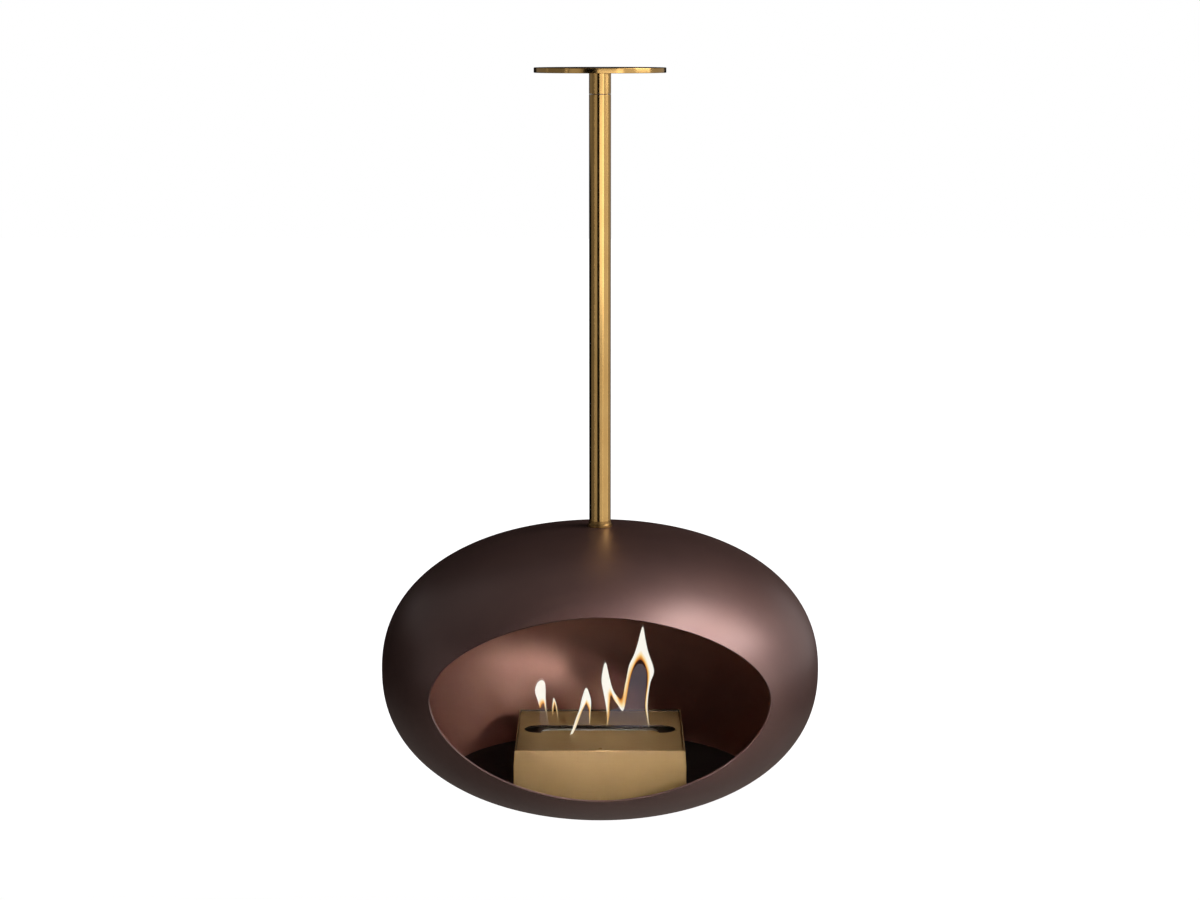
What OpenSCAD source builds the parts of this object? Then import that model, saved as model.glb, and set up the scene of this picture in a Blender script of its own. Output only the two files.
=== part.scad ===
// Hanging bowl fireplace: a spun-steel bowl on a brass pole that turns under a round
// ceiling plate, with a brass alcohol burner let into a floor plate inside the bowl.
// Millimetres. The origin is the centre of the ceiling plate's top face, +Z is up and
// the mouth of the bowl faces -Y.

/* [Ceiling plate] */
// Diameter of the ceiling plate
plate_d = 192; // [150:1:300]
// Thickness of the ceiling plate
plate_t = 7.5; // [6:0.5:12]
// Bevel round the plate's two edges
plate_bevel = 0.8; // [0.2:0.1:1.5]
// Number of screw holes in the plate
plate_holes = 4; // [3:1:8]
// Diameter of a screw hole
plate_hole_d = 6.6; // [4.5:0.1:9]
// Distance from the screw holes' circle to the plate's edge
plate_hole_inset = 21; // [12:1:30]
// Depth of the recess that the cap lies in
cap_t = 1.5; // [1:0.1:2.5]
// Width that the cap laps past the sleeve's spigot
cap_lap = 1.5; // [0.5:0.1:5]

/* [Swivel] */
// Outer diameter of the pole and of the sleeve above it
pole_d = 32; // [30:0.5:60]
// Length of the sleeve below the plate
sleeve_h = 30.5; // [28:0.5:60]
// Gap between the fixed sleeve and the turning pole
swivel_gap = 0.5; // [0.3:0.1:2]
// Wall of the sleeve
sleeve_wall = 3.2; // [2:0.1:4]
// Wall of the sleeve's spigot inside the plate
spigot_wall = 2.2; // [1.5:0.1:3]
// Thickness of the shoulder at the sleeve's foot
shoulder_t = 6; // [4:0.5:10]
// Thickness of the spindle's head
spindle_head_t = 7; // [4:0.5:9]
// Width of the hexagon socket in the spindle's head, across its flats
spindle_socket_af = 8; // [5:1:10]
// Wall of the guide bush
bush_wall = 1.8; // [1:0.1:2]
// Running clearance of the spindle in its bush, on the radius
running_clearance = 0.05; // [0.02:0.01:0.1]
// Clearance between bearing pieces and what they don't run on, on the radius
bearing_clearance = 0.4; // [0.2:0.1:0.5]
// Thickness of each bearing race
race_t = 3; // [2.5:0.1:4]
// Diameter of a bearing ball
ball_d = 3.5; // [2.5:0.1:3.8]
// Number of bearing balls
ball_count = 14; // [6:1:16]
// Depth that the balls sit in each race
groove_depth = 0.7; // [0.4:0.1:1]
// Width of a race on each side of its balls
race_edge = 0.25; // [0.2:0.05:0.5]

/* [Pole] */
// Length of the pole below the swivel
pole_length = 635; // [300:5:2000]
// Wall of the pole
pole_wall = 2; // [1.5:0.1:3]
// Length of the plug in the pole's upper end
top_plug_h = 40; // [30:1:80]
// Length of the spindle inside the upper plug
spindle_grip = 30; // [15:1:30]
// Length of the plug in the pole's lower end
bottom_plug_h = 45; // [35:1:80]
// Gap between a plug and the bore it is brazed into
braze_gap = 0.02; // [0.01:0.01:0.05]
// Width that the collar stands out round the pole
collar_flare = 2.5; // [1.5:0.1:8]
// Height of the collar
collar_h = 9; // [5:0.5:20]
// Height of the collar's rim
collar_rim = 3; // [1:0.1:4]
// Width of the collar's lip at its upper end
collar_lip = 0.4; // [0.2:0.1:1]

/* [Bowl] */
// Diameter of the bowl
bowl_d = 650; // [600:5:900]
// Height of the bowl
bowl_h = 425; // [380:5:600]
// Exponent of the bowl's curve, where 2 is an ellipse
bowl_exponent = 2.22; // [2:0.01:2.6]
// Thickness of the bowl's sheet
bowl_wall = 2.5; // [1.5:0.1:4]
// Width of the mouth
mouth_w = 486; // [300:2:500]
// Height of the mouth
mouth_h = 265; // [180:1:280]
// Exponent of the mouth's curve
mouth_exponent = 1.85; // [1.7:0.01:2.4]
// Distance of the mouth's middle below the bowl's
mouth_drop = 1; // [0:0.5:20]
// Number of straight steps in each quarter of a curve
curve_steps = 22; // [12:1:32]

/* [Bowl fixing] */
// Diameter of the hub plate under the bowl's crown
hub_d = 120; // [80:1:200]
// Thickness of the hub plate
hub_t = 4; // [3:0.5:8]
// Diameter of the bolt that holds the bowl
bolt_d = 16; // [10:1:20]
// Clearance round the bolt, on the radius
bolt_clearance = 0.5; // [0.2:0.1:1]
// Width of the bolt's head across its flats
bolt_head_af = 24; // [17:1:30]
// Height of the bolt's head
bolt_head_h = 10; // [6:0.5:13]
// Length of the bolt inside the lower plug
bolt_grip = 30; // [15:1:35]
// Diameter of the bolt's washer
washer_d = 44; // [34:1:60]
// Thickness of the bolt's washer
washer_t = 3; // [2:0.5:5]

/* [Floor] */
// Height of the floor plate's top above the lowest point inside the bowl
floor_rise = 49; // [45:1:60]
// Thickness of the floor plate
floor_t = 2; // [1.5:0.1:4]
// Gap between the floor plate and the bowl
floor_edge_gap = 0.8; // [0.5:0.1:4]
// Gap between the burner's casing and the floor's cut-out
cutout_gap = 2; // [1:0.5:5]
// Radius of the hand bay in front of the burner
bay_r = 110; // [100:1:120]
// Reach of the hand bay past the front of the casing
bay_reach = 47; // [20:1:50]
// Directions of the floor's lugs, from the +X side
lug_angles = [90, 215, 325];
// Distance from the floor plate's edge in to its screws
floor_screw_inset = 23; // [18:1:30]
// Width of a lug
lug_w = 24; // [16:1:40]
// Distance that a lug runs in past its screw
lug_inset = 9; // [6:0.5:15]
// Diameter of the floor's screws
screw_d = 5; // [4:0.5:6]
// Diameter of the screws' heads
screw_head_d = 9.5; // [8:0.1:12]
// Height of the screws' heads
screw_head_h = 2.8; // [2:0.1:4]
// Length of thread in a lug
screw_grip = 7; // [4:0.5:8]
// Clearance round a screw in a plain hole, on the radius
screw_clearance = 0.3; // [0.1:0.1:0.5]
// Gap between a thread and the piece that it is screwed into
thread_gap = 0.02; // [0.01:0.01:0.05]

/* [Cradle] */
// Depth of the burner's seat below the floor plate
cradle_drop = 12; // [8:0.5:16]
// Thickness of the cradle's strips
cradle_t = 3; // [2:0.1:4]
// Width of a cradle strip
cradle_w = 25; // [15:1:40]
// Distance of a strip's middle from the casing's side
cradle_inset = 26; // [20:1:34]
// Length of the flange that fixes a strip to the floor
cradle_flange = 23; // [20:1:30]
// Width of a nut across its flats
nut_af = 8; // [7:0.5:10]
// Height of a nut
nut_h = 4; // [3:0.1:6]
// Length of thread past a nut
thread_past_nut = 1.5; // [0.5:0.1:3]

/* [Burner casing] */
// Width of the casing
casing_w = 252; // [240:1:260]
// Depth of the casing from front to back
casing_d = 250; // [200:1:260]
// Height of the casing
casing_h = 78; // [60:1:100]
// Thickness of the casing's sheet
casing_wall = 2; // [1:0.1:3]
// Distance that each side leans in at the top
casing_lean = 1.8; // [0:0.1:4]
// Height of the leaning part of the sides
casing_lean_h = 24; // [15:1:40]
// Depth of the burner plate below the casing's rim
plate_recess = 2.5; // [0.5:0.1:8]
// Thickness of the burner plate
burner_plate_t = 2; // [1:0.1:4]
// Gap round the burner plate
burner_plate_gap = 1.5; // [0.5:0.1:3]
// Width of the ledges that carry the burner plate
ledge_w = 8; // [5:0.5:9]
// Height of the ledges
ledge_h = 12; // [8:0.5:20]
// Thickness of the ledges
ledge_t = 2; // [1:0.1:3]
// Distance of the slot's ends from the burner plate's sides
slot_margin = 7.7; // [5:0.1:20]
// Width of the slot in the burner plate
slot_w = 47; // [36:1:60]
// Distance of the slot's middle behind the casing's middle
slot_back = 12; // [5:0.5:15]
// Diameter of the lifting hole in the burner plate
lift_hole_d = 7; // [5:0.5:10]
// Distance of the lifting hole from the plate's front edge
lift_hole_inset = 19; // [10:1:30]

/* [Tank and damper] */
// Gap between the tank and each side of the casing
tank_side_gap = 11; // [10:0.5:20]
// Depth of the tank from front to back
tank_d = 150; // [120:1:170]
// Distance of the tank's middle behind the casing's middle
tank_back = 10; // [0:1:20]
// Thickness of the tank's sheet
tank_wall = 1.5; // [0.8:0.1:2.5]
// Overhang of the tank's top past its sides
tank_top_lap = 2; // [1:0.5:3]
// Height of the insulating strips under the tank
pad_h = 8; // [4:0.5:15]
// Width of an insulating strip
pad_w = 20; // [10:1:40]
// Depth of the free space above the wool
wool_gap = 5; // [3:0.5:15]
// Gap between the wool and the tank's sides
wool_side_gap = 0.3; // [0.1:0.1:1]
// Length of the fire slot in the tank's top
fire_slot_l = 176; // [120:1:178]
// Width of the fire slot
fire_slot_w = 22; // [14:0.5:24]
// Distance of the fire slot behind the middle of the plate's slot
fire_slot_back = 18; // [14:0.5:20]
// Width that the damper laps past each end of the fire slot
damper_side_lap = 4; // [2:0.5:8]
// Depth of the damper from front to back
damper_d = 60; // [50:1:70]
// Thickness of the damper
damper_t = 2; // [1:0.1:3]
// Radius of the damper's rear corners
damper_corner_r = 20; // [5:1:25]
// Distance that the closed damper laps past the fire slot
damper_lap = 5; // [3:0.5:8]
// Distance that the open damper stands clear of the fire slot
damper_open = 1; // [0.5:0.5:3]
// Diameter of the damper's hook hole
hook_hole_d = 6; // [4:0.5:8]
// Distance of the hook hole from the damper's rear edge
hook_hole_inset = 22; // [15:1:26]
// Play between the damper and what guides it
slide_play = 0.4; // [0.3:0.1:1]
// Thickness of the damper's guide rails
rail_t = 1; // [0.8:0.1:2]
// Width that a guide rail laps over the damper
rail_lap = 4; // [2:0.5:6]
// Width and length of the damper's stops
stop_size = 4; // [2:0.5:6]

/* [Hidden] */
$fn = 96;
eps = 0.01;

// Heights of the swivel, all measured up from the plate's top face
sleeve_foot = -plate_t - sleeve_h;
pole_top = sleeve_foot - swivel_gap;
pole_foot = pole_top - pole_length;
shoulder_top = sleeve_foot + shoulder_t;
ball_z = shoulder_top + race_t + ball_d / 2 - groove_depth;
upper_race_z = ball_z + ball_d / 2 - groove_depth;
head_z = upper_race_z + race_t;

// Radii of the swivel
pole_r = pole_d / 2;
cavity_r = pole_r - sleeve_wall;
spigot_r = cavity_r + spigot_wall;
cap_r = spigot_r + cap_lap;
race_outer_r = cavity_r - bearing_clearance;
race_inner_r = race_outer_r - ball_d - 2 * race_edge;
spindle_r = race_inner_r - bearing_clearance;
ball_ring_r = (race_inner_r + race_outer_r) / 2;
groove_r = ball_d / 2 + running_clearance;
plug_r = pole_r - pole_wall - braze_gap;
bush_r = spindle_r + running_clearance + bush_wall;

// Bowl
bowl_z = pole_foot - bowl_h / 2;
bowl_a = bowl_d / 2;
bowl_b = bowl_h / 2;
inner_a = bowl_a - bowl_wall;
inner_b = bowl_b - bowl_wall;
bolt_hole_r = bolt_d / 2 + bolt_clearance;
hub_foot = pole_foot - bowl_wall - hub_t;
washer_foot = hub_foot - washer_t;

// Floor and cradle
floor_top = bowl_z - inner_b + floor_rise;
floor_foot = floor_top - floor_t;
floor_r = inner_r(floor_foot) - floor_edge_gap;
floor_screw_r = floor_r - floor_screw_inset;
bay_y = -casing_d / 2 - bay_reach + bay_r;
cradle_in = casing_d / 2 + cutout_gap;
cradle_out = cradle_in + cradle_flange;
cradle_screw_y = (cradle_in + cradle_t + cradle_out) / 2;
cradle_x = casing_w / 2 - cradle_inset;

// Casing and the pieces stacked in it
casing_foot = floor_foot - cradle_drop;
casing_top = casing_foot + casing_h;
burner_plate_top = casing_top - plate_recess;
burner_plate_foot = burner_plate_top - burner_plate_t;
damper_space = damper_t + rail_t + 2.5 * slide_play;
tank_lid_top = burner_plate_foot - damper_space;
tank_rim = tank_lid_top - tank_wall;
tank_foot = casing_foot + casing_wall + pad_h;
wool_top = tank_rim - wool_gap;
burner_plate_w = casing_w - 2 * (casing_lean + casing_wall + burner_plate_gap);
burner_plate_d = casing_d - 2 * (casing_wall + burner_plate_gap);
slot_l = burner_plate_w - 2 * slot_margin;
tank_w = casing_w - 2 * (casing_wall + tank_side_gap);
damper_w = fire_slot_l + 2 * damper_side_lap;
fire_y = slot_back + fire_slot_back;
damper_rear = fire_y - fire_slot_w / 2 - damper_open;
damper_front = damper_rear - damper_d;
damper_travel = fire_slot_w + damper_open + damper_lap;
damper_foot = tank_lid_top + 0.75 * slide_play;
rail_in = damper_w / 2 + slide_play;
rail_foot_z = damper_foot + damper_t + slide_play;
rail_length = damper_d + damper_travel + 2 * slide_play;

// Radius at height z of a superellipse of revolution with half-axes a and b
function curve_r(z, a, b) = a * pow(1 - pow(abs(z) / b, bowl_exponent), 1 / bowl_exponent);

// Radius inside the bowl at a height in the part's own frame
function inner_r(z) = curve_r(z - bowl_z, inner_a, inner_b);

// Points of a quarter of a superellipse, from its side to its top
function quarter(a, b, n, s) = [
    for (i = [0 : s])
        [a * pow(cos(90 * i / s), 2 / n), b * pow(sin(90 * i / s), 2 / n)]
];

// Points from the foot to the crown of a superellipse, on its right side
function right_half(a, b, n, s) = concat(
    [for (i = [s : -1 : 1]) let (p = quarter(a, b, n, s)[i]) [p[0], -p[1]]],
    quarter(a, b, n, s)
);

// Half the width inside the casing at height z
function casing_inner(z) =
    casing_w / 2 - casing_wall
    - casing_lean * max(0, z - casing_top + casing_lean_h) / casing_lean_h;

// ---- Shapes that repeat ----

// A tube or ring that stands on z
module ring(z, h, r_out, r_in) {
    translate([0, 0, z])
        difference() {
            cylinder(h = h, r = r_out);
            translate([0, 0, -1])
                cylinder(h = h + 2, r = r_in);
        }
}

// A hexagon prism, measured across its flats
module hexagon(af, h) {
    cylinder(h = h, r = af / sqrt(3), $fn = 6);
}

// A flat slot with round ends
module stadium(l, w) {
    square([l - w, w], center = true);
    for (side = [-1, 1])
        translate([side * (l - w) / 2, 0])
            circle(d = w);
}

// A round-headed screw whose head stands on z and whose shaft reaches down
module pan_screw(z, shaft) {
    translate([0, 0, z - shaft])
        cylinder(h = shaft + eps, d = screw_d);
    translate([0, 0, z])
        difference() {
            cylinder(h = screw_head_h, d1 = screw_head_d, d2 = 0.7 * screw_head_d);
            translate([0, 0, screw_head_h / 2])
                hexagon(screw_d * 0.6, screw_head_h);
        }
}

// Places a piece at each of the floor's lugs
module at_lugs(r) {
    for (angle = lug_angles)
        rotate(angle)
            translate([r, 0, 0])
                children();
}

// Places a piece at each of the four cradle screws
module at_cradle_screws() {
    for (x = [-cradle_x, cradle_x], y = [-cradle_screw_y, cradle_screw_y])
        translate([x, y, 0])
            children();
}

// Solid of the space inside the bowl
module bowl_space(gap) {
    translate([0, 0, bowl_z])
        rotate_extrude()
            polygon(right_half(inner_a - gap, inner_b - gap, bowl_exponent, curve_steps));
}

// A torus groove for the bearing's balls
module ball_groove() {
    translate([0, 0, ball_z])
        rotate_extrude()
            translate([ball_ring_r, 0])
                circle(r = groove_r);
}

// ---- Ceiling plate and swivel ----

module ceiling_plate() {
    hole_circle_r = plate_d / 2 - plate_hole_inset;
    sink = plate_hole_d / 2;
    color("#b98d4c")
        difference() {
            rotate_extrude()
                polygon([
                    [0, 0],
                    [plate_d / 2 - plate_bevel, 0],
                    [plate_d / 2, -plate_bevel],
                    [plate_d / 2, plate_bevel - plate_t],
                    [plate_d / 2 - plate_bevel, -plate_t],
                    [0, -plate_t]
                ]);
            translate([0, 0, -plate_t - 1])
                cylinder(h = plate_t + 2, r = spigot_r + thread_gap);
            translate([0, 0, -cap_t])
                cylinder(h = cap_t + 1, r = cap_r + thread_gap);
            for (i = [0 : plate_holes - 1])
                rotate(45 + 360 * i / plate_holes)
                    translate([hole_circle_r, 0, -plate_t]) {
                        translate([0, 0, -1])
                            cylinder(h = plate_t + 2, d = plate_hole_d);
                        translate([0, 0, -eps])
                            cylinder(h = sink, r1 = plate_hole_d, r2 = plate_hole_d / 2);
                    }
        }
}

module dust_cap() {
    color("#8d9099")
        translate([0, 0, -cap_t])
            cylinder(h = cap_t, r = cap_r);
}

module swivel_sleeve() {
    color("#a87c40")
        difference() {
            union() {
                translate([0, 0, sleeve_foot])
                    cylinder(h = sleeve_h, r = pole_r);
                translate([0, 0, -plate_t - eps])
                    cylinder(h = plate_t - cap_t + eps, r = spigot_r);
            }
            translate([0, 0, shoulder_top])
                cylinder(h = sleeve_h + plate_t, r = cavity_r);
            translate([0, 0, sleeve_foot - 1])
                cylinder(h = shoulder_t + 2, r = bush_r + thread_gap);
        }
}

module guide_bush() {
    color("#c79a5a")
        ring(sleeve_foot, shoulder_t, bush_r, spindle_r + running_clearance);
}

module bearing_lower_race() {
    color("#b9bcc2")
        difference() {
            ring(shoulder_top, race_t, race_outer_r, race_inner_r);
            ball_groove();
        }
}

module bearing_balls() {
    color("#d8dade")
        for (i = [0 : ball_count - 1])
            rotate(360 * i / ball_count)
                translate([ball_ring_r, 0, ball_z])
                    sphere(d = ball_d, $fn = 24);
}

module bearing_upper_race() {
    color("#b9bcc2")
        difference() {
            ring(upper_race_z, race_t, race_outer_r, spindle_r + thread_gap);
            ball_groove();
        }
}

module swivel_spindle() {
    color("#9fa2a8")
        difference() {
            union() {
                translate([0, 0, head_z])
                    cylinder(h = spindle_head_t, r = race_outer_r);
                translate([0, 0, pole_top - spindle_grip])
                    cylinder(h = head_z - pole_top + spindle_grip + eps, r = spindle_r);
            }
            translate([0, 0, head_z + spindle_head_t / 3])
                hexagon(spindle_socket_af, spindle_head_t);
        }
}

// ---- Pole ----

module pole_tube() {
    color("#c59a52")
        ring(pole_foot, pole_length, pole_r, pole_r - pole_wall);
}

module pole_top_plug() {
    color("#9fa2a8")
        ring(pole_top - top_plug_h, top_plug_h, plug_r, spindle_r + thread_gap);
}

module pole_bottom_plug() {
    color("#9fa2a8")
        ring(pole_foot, bottom_plug_h, plug_r, bolt_d / 2 + thread_gap);
}

module base_collar() {
    inner = pole_r + thread_gap;
    top_r = inner + collar_lip;
    rim_r = pole_r + collar_flare;
    cove_w = rim_r - top_r;
    cove_h = collar_h - collar_rim;
    // radius of the hollow curve that meets the lip upright and ends at the rim
    cove_r = (cove_w * cove_w + cove_h * cove_h) / (2 * cove_w);
    color("#c59a52")
        translate([0, 0, pole_foot])
            rotate_extrude()
                difference() {
                    translate([inner, 0])
                        square([rim_r - inner, collar_h]);
                    translate([top_r + cove_r, collar_h])
                        circle(r = cove_r);
                }
}

// ---- Bowl ----

module bowl_shell() {
    color("#4a3430")
        difference() {
            translate([0, 0, bowl_z])
                rotate_extrude()
                    polygon(concat(
                        right_half(bowl_a, bowl_b, bowl_exponent, curve_steps),
                        [for (i = [2 * curve_steps : -1 : 0])
                            right_half(inner_a, inner_b, bowl_exponent, curve_steps)[i]]
                    ));
            translate([0, 0, bowl_z - mouth_drop])
                rotate([90, 0, 0])
                    linear_extrude(height = bowl_a + 5)
                        mouth_outline();
            translate([0, 0, washer_foot])
                cylinder(h = pole_foot - washer_foot + 5, r = bolt_hole_r);
        }
}

// Outline of the mouth, seen from the front
module mouth_outline() {
    half = right_half(mouth_w / 2, mouth_h / 2, mouth_exponent, curve_steps);
    polygon(concat(
        half,
        [for (i = [2 * curve_steps - 1 : -1 : 1]) [-half[i][0], half[i][1]]]
    ));
}

module hub_plate() {
    color("#2b2422")
        difference() {
            intersection() {
                bowl_space(thread_gap);
                translate([0, 0, hub_foot])
                    cylinder(h = hub_t + 5, d = hub_d);
            }
            translate([0, 0, hub_foot - 1])
                cylinder(h = hub_t + 5, r = bolt_hole_r);
        }
}

module bowl_washer() {
    color("#b9bcc2")
        ring(washer_foot, washer_t, washer_d / 2, bolt_hole_r);
}

module bowl_bolt() {
    color("#9fa2a8") {
        translate([0, 0, washer_foot - bolt_head_h])
            intersection() {
                hexagon(bolt_head_af, bolt_head_h);
                cylinder(h = bolt_head_h, r1 = bolt_head_af / 2, r2 = bolt_head_af);
            }
        translate([0, 0, washer_foot - eps])
            cylinder(h = pole_foot - washer_foot + bolt_grip + eps, d = bolt_d);
    }
}

// ---- Floor of the bowl ----

module floor_lugs() {
    color("#1d1817")
        difference() {
            intersection() {
                bowl_space(thread_gap);
                at_lugs(floor_screw_r - lug_inset)
                    translate([0, -lug_w / 2, floor_foot - floor_rise])
                        cube([lug_inset + floor_screw_inset + 10, lug_w, floor_rise]);
            }
            at_lugs(floor_screw_r)
                translate([0, 0, floor_foot - screw_grip - 1])
                    cylinder(h = screw_grip + 2, r = screw_d / 2 + thread_gap);
        }
}

module floor_plate() {
    cutout_w = casing_w + 2 * cutout_gap;
    cutout_d = casing_d + 2 * cutout_gap;
    edge_rise = inner_r(floor_top) - inner_r(floor_foot);
    color("#191413")
        translate([0, 0, floor_foot])
            difference() {
                cylinder(h = floor_t, r1 = floor_r, r2 = floor_r + edge_rise);
                translate([-cutout_w / 2, -cutout_d / 2, -1])
                    cube([cutout_w, cutout_d, floor_t + 2]);
                translate([0, bay_y, -1])
                    cylinder(h = floor_t + 2, r = bay_r);
                at_lugs(floor_screw_r)
                    floor_hole();
                at_cradle_screws()
                    floor_hole();
            }
}

// A plain hole for a screw, from 1 mm under the floor plate up through it
module floor_hole() {
    translate([0, 0, -1])
        cylinder(h = floor_t + 2, r = screw_d / 2 + screw_clearance);
}

module floor_screws() {
    color("#2a2625")
        at_lugs(floor_screw_r)
            pan_screw(floor_top, floor_t + screw_grip);
}

// ---- Cradle that carries the burner ----

module cradle_strips() {
    color("#1d1817")
        difference() {
            for (x = [-cradle_x, cradle_x])
                translate([x - cradle_w / 2, 0, 0])
                    rotate([90, 0, 90])
                        linear_extrude(height = cradle_w)
                            cradle_profile();
            at_cradle_screws()
                translate([0, 0, floor_foot - cradle_t - 1])
                    cylinder(h = cradle_t + 2, r = screw_d / 2 + screw_clearance);
        }
}

// Side view of a cradle strip: a seat, two legs and two flanges
module cradle_profile() {
    for (side = [-1, 1])
        scale([side, 1])
            polygon([
                [-eps, casing_foot],
                [cradle_in, casing_foot],
                [cradle_in, floor_foot],
                [cradle_out, floor_foot],
                [cradle_out, floor_foot - cradle_t],
                [cradle_in + cradle_t, floor_foot - cradle_t],
                [cradle_in + cradle_t, casing_foot - cradle_t],
                [-eps, casing_foot - cradle_t]
            ]);
}

module cradle_screws() {
    color("#2a2625")
        at_cradle_screws()
            pan_screw(floor_top, floor_t + cradle_t + nut_h + thread_past_nut);
}

module cradle_nuts() {
    color("#9fa2a8")
        at_cradle_screws()
            translate([0, 0, floor_foot - cradle_t - nut_h])
                difference() {
                    hexagon(nut_af, nut_h);
                    translate([0, 0, -1])
                        cylinder(h = nut_h + 2, r = screw_d / 2 + thread_gap);
                }
}

// ---- Burner ----

module burner_casing() {
    lean_z = casing_top - casing_lean_h;
    outer_rim = casing_inner(casing_top) + casing_wall;
    color("#a2804f")
        difference() {
            rotate([90, 0, 0])
                linear_extrude(height = casing_d, center = true)
                    polygon([
                        [-casing_w / 2, casing_foot],
                        [casing_w / 2, casing_foot],
                        [casing_w / 2, lean_z],
                        [outer_rim, casing_top],
                        [-outer_rim, casing_top],
                        [-casing_w / 2, lean_z]
                    ]);
            rotate([90, 0, 0])
                linear_extrude(height = casing_d - 2 * casing_wall, center = true)
                    polygon([
                        [-casing_inner(lean_z), casing_foot + casing_wall],
                        [casing_inner(lean_z), casing_foot + casing_wall],
                        [casing_inner(lean_z), lean_z],
                        [casing_inner(casing_top + 1), casing_top + 1],
                        [-casing_inner(casing_top + 1), casing_top + 1],
                        [-casing_inner(lean_z), lean_z]
                    ]);
        }
}

module plate_ledges() {
    ledge_top = burner_plate_foot;
    ledge_foot = ledge_top - ledge_h;
    color("#8f7148")
        rotate([90, 0, 0])
            linear_extrude(height = casing_d - 2 * casing_wall - 2, center = true)
                for (side = [-1, 1])
                    scale([side, 1])
                        polygon([
                            [casing_inner(ledge_top), ledge_top],
                            [casing_inner(ledge_top) - ledge_w, ledge_top],
                            [casing_inner(ledge_top) - ledge_w, ledge_top - ledge_t],
                            [casing_inner(ledge_foot) - ledge_t, ledge_top - ledge_t],
                            [casing_inner(ledge_foot) - ledge_t, ledge_foot],
                            [casing_inner(ledge_foot), ledge_foot]
                        ]);
}

module tank_pads() {
    color("#d9d2c4")
        for (side = [-1, 1])
            translate([
                side * (tank_w / 2 - pad_w) - pad_w / 2,
                tank_back - tank_d / 2,
                casing_foot + casing_wall
            ])
                cube([pad_w, tank_d, pad_h]);
}

module fuel_tank() {
    h = tank_rim - tank_foot;
    color("#a7a9ac")
        translate([-tank_w / 2, tank_back - tank_d / 2, tank_foot])
            difference() {
                cube([tank_w, tank_d, h]);
                translate([tank_wall, tank_wall, tank_wall])
                    cube([tank_w - 2 * tank_wall, tank_d - 2 * tank_wall, h]);
            }
}

module tank_lid() {
    w = tank_w + 2 * tank_top_lap;
    d = tank_d + 2 * tank_top_lap;
    color("#7d7a76")
        translate([0, 0, tank_rim])
            linear_extrude(height = tank_wall)
                difference() {
                    translate([-w / 2, tank_back - d / 2])
                        square([w, d]);
                    translate([0, fire_y])
                        stadium(fire_slot_l, fire_slot_w);
                }
}

module ceramic_wool() {
    inset = tank_wall + wool_side_gap;
    color("#ece9e2")
        translate([
            inset - tank_w / 2,
            tank_back - tank_d / 2 + inset,
            tank_foot + tank_wall
        ])
            cube([
                tank_w - 2 * inset,
                tank_d - 2 * inset,
                wool_top - tank_foot - tank_wall
            ]);
}

module damper_rails() {
    rail_h = rail_foot_z + rail_t - tank_lid_top;
    color("#8b8884") {
        for (side = [-1, 1])
            translate([0, damper_front - slide_play, tank_lid_top])
                mirror([side < 0 ? 1 : 0, 0, 0]) {
                    translate([rail_in, 0, 0])
                        cube([rail_t, rail_length, rail_h]);
                    translate([damper_w / 2 - rail_lap, 0, rail_h - rail_t])
                        cube([rail_in - damper_w / 2 + rail_lap + eps, rail_length, rail_t]);
                    // stop behind the open damper's front edge
                    translate([rail_in - stop_size, -rail_t, 0])
                        cube([stop_size + rail_t, rail_t, rail_h]);
                }
        // stops that the closed damper's rear edge meets
        for (x = [-damper_w / 3, damper_w / 3])
            translate([
                x - stop_size / 2,
                damper_rear + damper_travel + slide_play,
                tank_lid_top
            ])
                cube([stop_size, stop_size, damper_foot + damper_t - tank_lid_top]);
    }
}

module damper_plate() {
    straight = damper_w / 2 - damper_corner_r;
    color("#a2804f")
        translate([0, damper_rear, damper_foot])
            linear_extrude(height = damper_t)
                difference() {
                    union() {
                        translate([-damper_w / 2, -damper_d])
                            square([damper_w, damper_d - damper_corner_r]);
                        translate([-straight, -damper_d])
                            square([2 * straight, damper_d]);
                        for (x = [-straight, straight])
                            translate([x, -damper_corner_r])
                                circle(r = damper_corner_r);
                    }
                    translate([0, -hook_hole_inset])
                        circle(d = hook_hole_d);
                }
}

module burner_plate() {
    color("#8d7048")
        translate([0, 0, burner_plate_foot])
            linear_extrude(height = burner_plate_t)
                difference() {
                    square([burner_plate_w, burner_plate_d], center = true);
                    translate([0, slot_back])
                        stadium(slot_l, slot_w);
                    translate([0, lift_hole_inset - burner_plate_d / 2])
                        circle(d = lift_hole_d);
                }
}

ceiling_plate();
dust_cap();
swivel_sleeve();
guide_bush();
bearing_lower_race();
bearing_balls();
bearing_upper_race();
swivel_spindle();
pole_tube();
pole_top_plug();
pole_bottom_plug();
base_collar();
bowl_shell();
hub_plate();
bowl_washer();
bowl_bolt();
floor_lugs();
floor_plate();
floor_screws();
cradle_strips();
cradle_screws();
cradle_nuts();
burner_casing();
plate_ledges();
tank_pads();
fuel_tank();
tank_lid();
ceramic_wool();
damper_rails();
damper_plate();
burner_plate();
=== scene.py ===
"""Looks of a hanging fireplace: a spun bowl in a satin mocha coat, a polished brass pole
and ceiling plate, and a satin brass alcohol burner with its flames.

Sizes are in millimetres in the part's own frame, and the origin is the middle of the
ceiling plate's top face. Each new piece is modelled where it stays, so every object is
left at the origin. Lamps, cards, camera and floor are placed in metres.
"""

import math
from contextlib import contextmanager

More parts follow.
